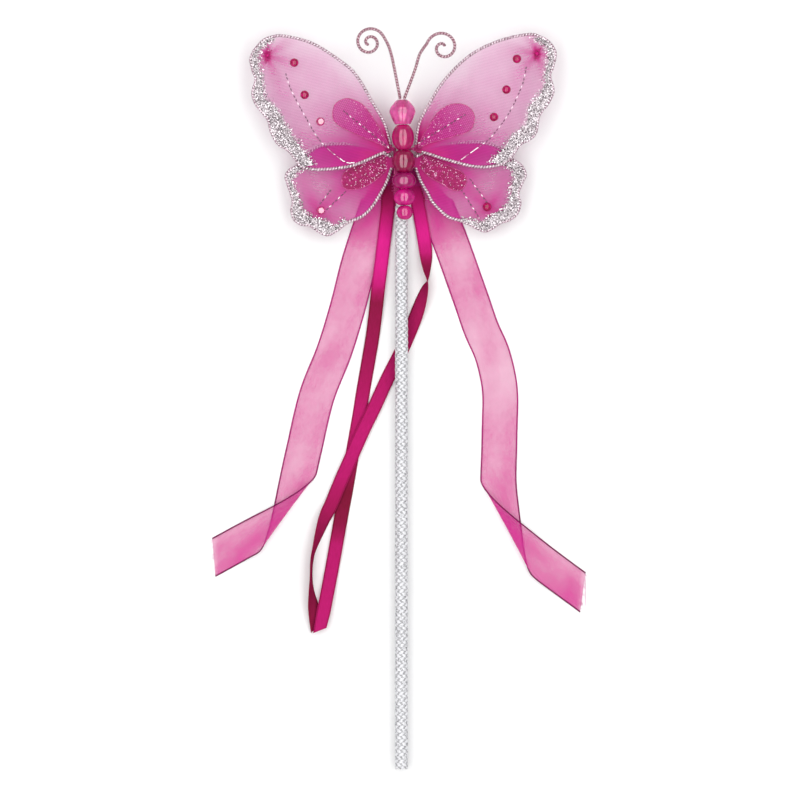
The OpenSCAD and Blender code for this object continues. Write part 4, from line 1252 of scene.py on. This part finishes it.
# %% Stones on the wings
stone_finish = finish_of("stone", (0.5, 0.004, 0.1), 0.12, Specular_IOR_Level=0.3)
mottled(stone_finish, 900.0, [(0.35, (0.3, 0.001, 0.05)), (0.7, (0.6, 0.004, 0.15))], detail=1.0)
cut_finish = finish_of("cut_stone", (0.6, 0.02, 0.2), 0.08, Specular_IOR_Level=1.0, Coat_Weight=1.0)
mottled(cut_finish, 900.0, [(0.35, (0.4, 0.004, 0.1)), (0.7, (0.7, 0.03, 0.25))], detail=1.0)
gem_spots = {
    "left_upper": [[50.2, 44.3], [45.4, 29.5], [38.2, 17.2]],
    "right_upper": [[52.1, 46], [47.3, 31.9], [41.6, 19.3]],
    "left_lower": [[38, -23.6]],
    "right_lower": [[38.4, -21.9]],
}
cut_ones, stone_over = ("left_upper", "left_lower"), 0.2
for name, spots in gem_spots.items():
    side, layer = wings[name][:2]
    z0 = level_of(layer) + stone_over
    node = [name + ("_gems" if layer == upper else "_gem")]
    domed = spots[:-1] if name in cut_ones else spots
    if domed:
        stones = copies(name + "_stones", stone, on_wing(side, domed, z0))
        dress(stones, name + "_wing", stone_finish, node)
        node = []
    if name in cut_ones:
        cut = copies(name + "_cut_stone", cut_stone, on_wing(side, spots[-1:], z0))
        dress(cut, name + "_wing", cut_finish, node)
bpy.data.objects.remove(stone)
bpy.data.objects.remove(cut_stone)
print("stones:", sum(len(s) for s in gem_spots.values()))

# %% Gathered tips
gather_cloth = finish_of("gather_cloth", (0.55, 0.004, 0.16), 0.5, Specular_IOR_Level=0.2)
mottled(gather_cloth, 500.0, [(0.3, (0.42, 0.002, 0.11)), (0.7, (0.72, 0.01, 0.26))])
ray_lengths = [2.0, 4.6, 2.2, 2.6, 1.8, 5.2, 3.0]
star_points = 4 * len(ray_lengths)
star_modifiers = {
    "SUBSURF": {"levels": 2, "render_levels": 2},
    "SOLIDIFY": {"thickness": 0.25 * MM},
}
for name in ("left_upper", "right_upper"):
    star = start(bpy.ops.mesh.primitive_circle_add, vertices=star_points, radius=1.5 * MM, fill_type="TRIFAN")
    for vertex in star.data.vertices:
        r = math.hypot(vertex.co.x, vertex.co.y)
        if r < 0.1 * MM:
            vertex.co.z = 1.5 * MM
            continue
        turn = math.atan2(vertex.co.y, vertex.co.x) / (2 * math.pi)
        index = round(turn * star_points) % star_points
        on_ray = index % 4 == 0
        far = ray_lengths[index // 4] if on_ray else (0.95 if index % 2 else 0.7)
        vertex.co *= far * MM / r
        vertex.co.z = 0.35 * MM if on_ray else 0.15 * MM
    for kind, settings in star_modifiers.items():
        made = star.modifiers.new(kind, kind)
        for key, value in settings.items():
            setattr(made, key, value)
        bpy.ops.object.modifier_apply(modifier=kind)
    bpy.ops.object.shade_smooth()
    star.name = star.data.name = name + "_gathered_tip"
    place = on_wing(wings[name][0], [gather_spots[name]], level_of(upper) + 0.35)[0]
    star.data.transform(Matrix.Translation(Vector(place) * MM))
    dress(star, name + "_wing", gather_cloth, [name + "_gather"])
print("gathered tips: 2")

# %% Glitter dashes of the veins
veins = {
    "left_upper": [
        [[53.938, 38.78], [51.592, 31.696], [45.52, 20.196], [38.068, 8.052], [27.948, -0.688], [23.9, -1.7]],
        [[27.258, 21.898], [7.018, 5.384]],
    ],
    "right_upper": [
        [[56.324, 41.816], [54.438, 33.72], [48.366, 20.886], [40.27, 10.076], [36.176, 6.718],
         [25.412, -1.056]],
        [[28.08, 20.196], [7.15, 7.408]],
    ],
    "left_lower": [[[33.698, -14.534], [38.068, -20.284]], [[26.936, -15.224], [35.032, -22.952]]],
    "right_lower": [[[30.794, -9.474], [38.2, -19.594]], [[26.746, -14.212], [34.152, -25.988]]],
}
dash_r, dash_spacing, bright_from = 0.3, 1.75, 0.72
dash = start(bpy.ops.mesh.primitive_uv_sphere_add, segments=10, ring_count=6, radius=dash_r * MM)
bpy.ops.object.shade_smooth()
dash.data.transform(Matrix.Diagonal((2.2, 0.85, 0.7, 1)))
for name, lines in veins.items():
    side, layer = wings[name][:2]
    places, turns, tones = [], [], []
    for line in lines:
        flat = evenly(through(line, 8), dash_spacing)
        way = np.gradient(flat, axis=0)
        long_vein = len(line) > 2
        z0 = level_of(layer) + (0.35 if long_vein or layer == lower else 0.55)
        for i, (spot, heading) in enumerate(zip(flat, way)):
            near_root = long_vein and i / len(flat) > bright_from
            tones.append(draw.uniform(0.45, 1) if near_root else draw.uniform(0, 0.35) + 0.7 * (i % 3 == 2))
            places.append(on_wing(side, [spot], z0)[0])
            turns.append(math.atan2(heading[1], side * heading[0]) + draw.uniform(-0.3, 0.3))
            if near_root and i % 3:
                places.append(on_wing(side, [spot + heading / 2], z0)[0])
                turns.append(turns[-1])
                tones.append(tones[-1])
    dashes = copies(name + "_vein_dashes", dash, places, turns, tones)
    dress(dashes, name + "_wing", dash_finish)
    print(name, "veins:", len(places), "dashes")
bpy.data.objects.remove(dash)

# %% [markdown]
# ## The ribbons' fold
#
# Behind the rod the ribbons are folded over and bonded under the binding. Two short organza loops stand
# for the folded middle; the satin cords start between them.

# %% Folded organza behind the rod
fold_high, fold_back, fold_r = 14, 8, 0.18
for name, low_x in (("left", -9.7), ("right", 14.5)):
    up_x = 0.25 * low_x
    share = np.linspace(0, 1, 9)[:, None]
    front = np.concatenate([low_x + (up_x - low_x) * share, fold_y - 0.2 + fold_high * share,
                            table_z + 0.35 + 0.25 * share], axis=1)
    turn = np.linspace(0, math.pi, 9)[1:, None]
    round_it = [0 * turn, 0.35 * np.sin(turn), fold_r * (1 - np.cos(turn))]
    top = front[-1] + np.concatenate(round_it, axis=1)
    share = share[1:]
    back = top[-1] + np.concatenate([0.5 * share * (low_x - up_x), -fold_back * share, 0 * share], axis=1)
    path = np.concatenate([front, top, back])
    run = run_of(path)
    across = np.linspace(-1, 1, 9)[None, :, None]
    half = np.interp(run, [0, 14, 26], [organza_w / 2, 5.5, 6])
    rows = path[:, None] + across * half[:, None, None] * np.array([1.0, 0, 0])
    rows[:, :, 2] += 0.05 * np.cos(across[0, :, 0] * 9)
    loop_piece = mesh_piece(name + "_organza_fold", [grid_sheet(rows)])
    mark(loop_piece, "veil", np.full(rows.shape[:2], 0.7))
    dress(loop_piece, "rod", organza, ["ribbon_fold"])
    print(name, "fold:", round(run[-1], 1), "mm of ribbon")

# %% [markdown]
# ## Pieces that stay as the CAD made them
#
# The core, the glue, the binding, the strung wires and the wing roots already have their real shapes, so
# they only get finishes. The glue is clear, so it has the colour of the nylon that is pressed into it.

# %% Finishes of the CAD nodes
core_plastic = finish_of("core_plastic", (0.8, 0.79, 0.8), 0.4)
mottled(core_plastic, 900.0, [(0.3, (0.7, 0.69, 0.7)), (0.7, (0.86, 0.85, 0.86))],
        place=place_of(core_plastic, "Object", (1, 0.15, 1)))
glue = finish_of("glue", (0.45, 0.05, 0.2), 0.25, Subsurface_Weight=0.4, Subsurface_Scale=0.003)
bump(glue, mottled(glue, 500.0, [(0.3, (0.36, 0.02, 0.14)), (0.7, (0.56, 0.07, 0.26))]), 0.3, 0.2)
kept = {"rod_core": core_plastic, "glue_saddle": glue, "root_binding": rose_wire, "spine_wires": plain_wire}
kept.update({wing + "_root": rose_wire for wing in wings})
for name, made in kept.items():
    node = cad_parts[name]
    node.data.materials.clear()
    node.data.materials.append(made)
print("kept CAD nodes:", ", ".join(kept))

# %% [markdown]
# ## Table and light
#
# The wand lies on a white table between two broad soft lights, so every piece has a faint shadow on each
# side. A second pair is seen in the gloss alone. It leaves a gap over the camera's axis, so a round bead
# shows two long reflections side by side.

# %% Table
table_size, under_wand = 6, (0, 0.17, (table_z - 0.05) * MM)
table = start(bpy.ops.mesh.primitive_plane_add, size=table_size, location=under_wand)
table.name = "table"
table.data.materials.append(finish_of("table_white", (0.93, 0.93, 0.93), 0.7))
print("table under the wand")


# %% Lights
def softbox(name, x, height, wide, long, power, shine):
    bpy.ops.object.light_add(type="AREA", location=(x, 0.2, height))
    lamp = bpy.context.object
    lamp.name = name
    lamp.data.shape = "RECTANGLE"
    lamp.data.size = wide
    lamp.data.size_y = long
    lamp.data.energy = power
    lamp.visible_camera = False
    lamp.visible_glossy = shine
    lamp.visible_diffuse = not shine


for side in (left, right):
    softbox("softbox", side * 0.62, 1.0, wide=1.0, long=2.4, power=10.0, shine=False)
    softbox("shine", side * 0.42, 0.9, wide=0.66, long=2.7, power=28.0, shine=True)
world = bpy.data.worlds.new("studio")
world.use_nodes = True
background = world.node_tree.nodes["Background"]
background.inputs["Color"].default_value = (1, 1, 1, 1)
background.inputs["Strength"].default_value = 0.45
bpy.context.scene.world = world
bpy.context.scene.view_settings.view_transform = "Standard"
print("lights: 2 softboxes for the light, 2 for the shine")
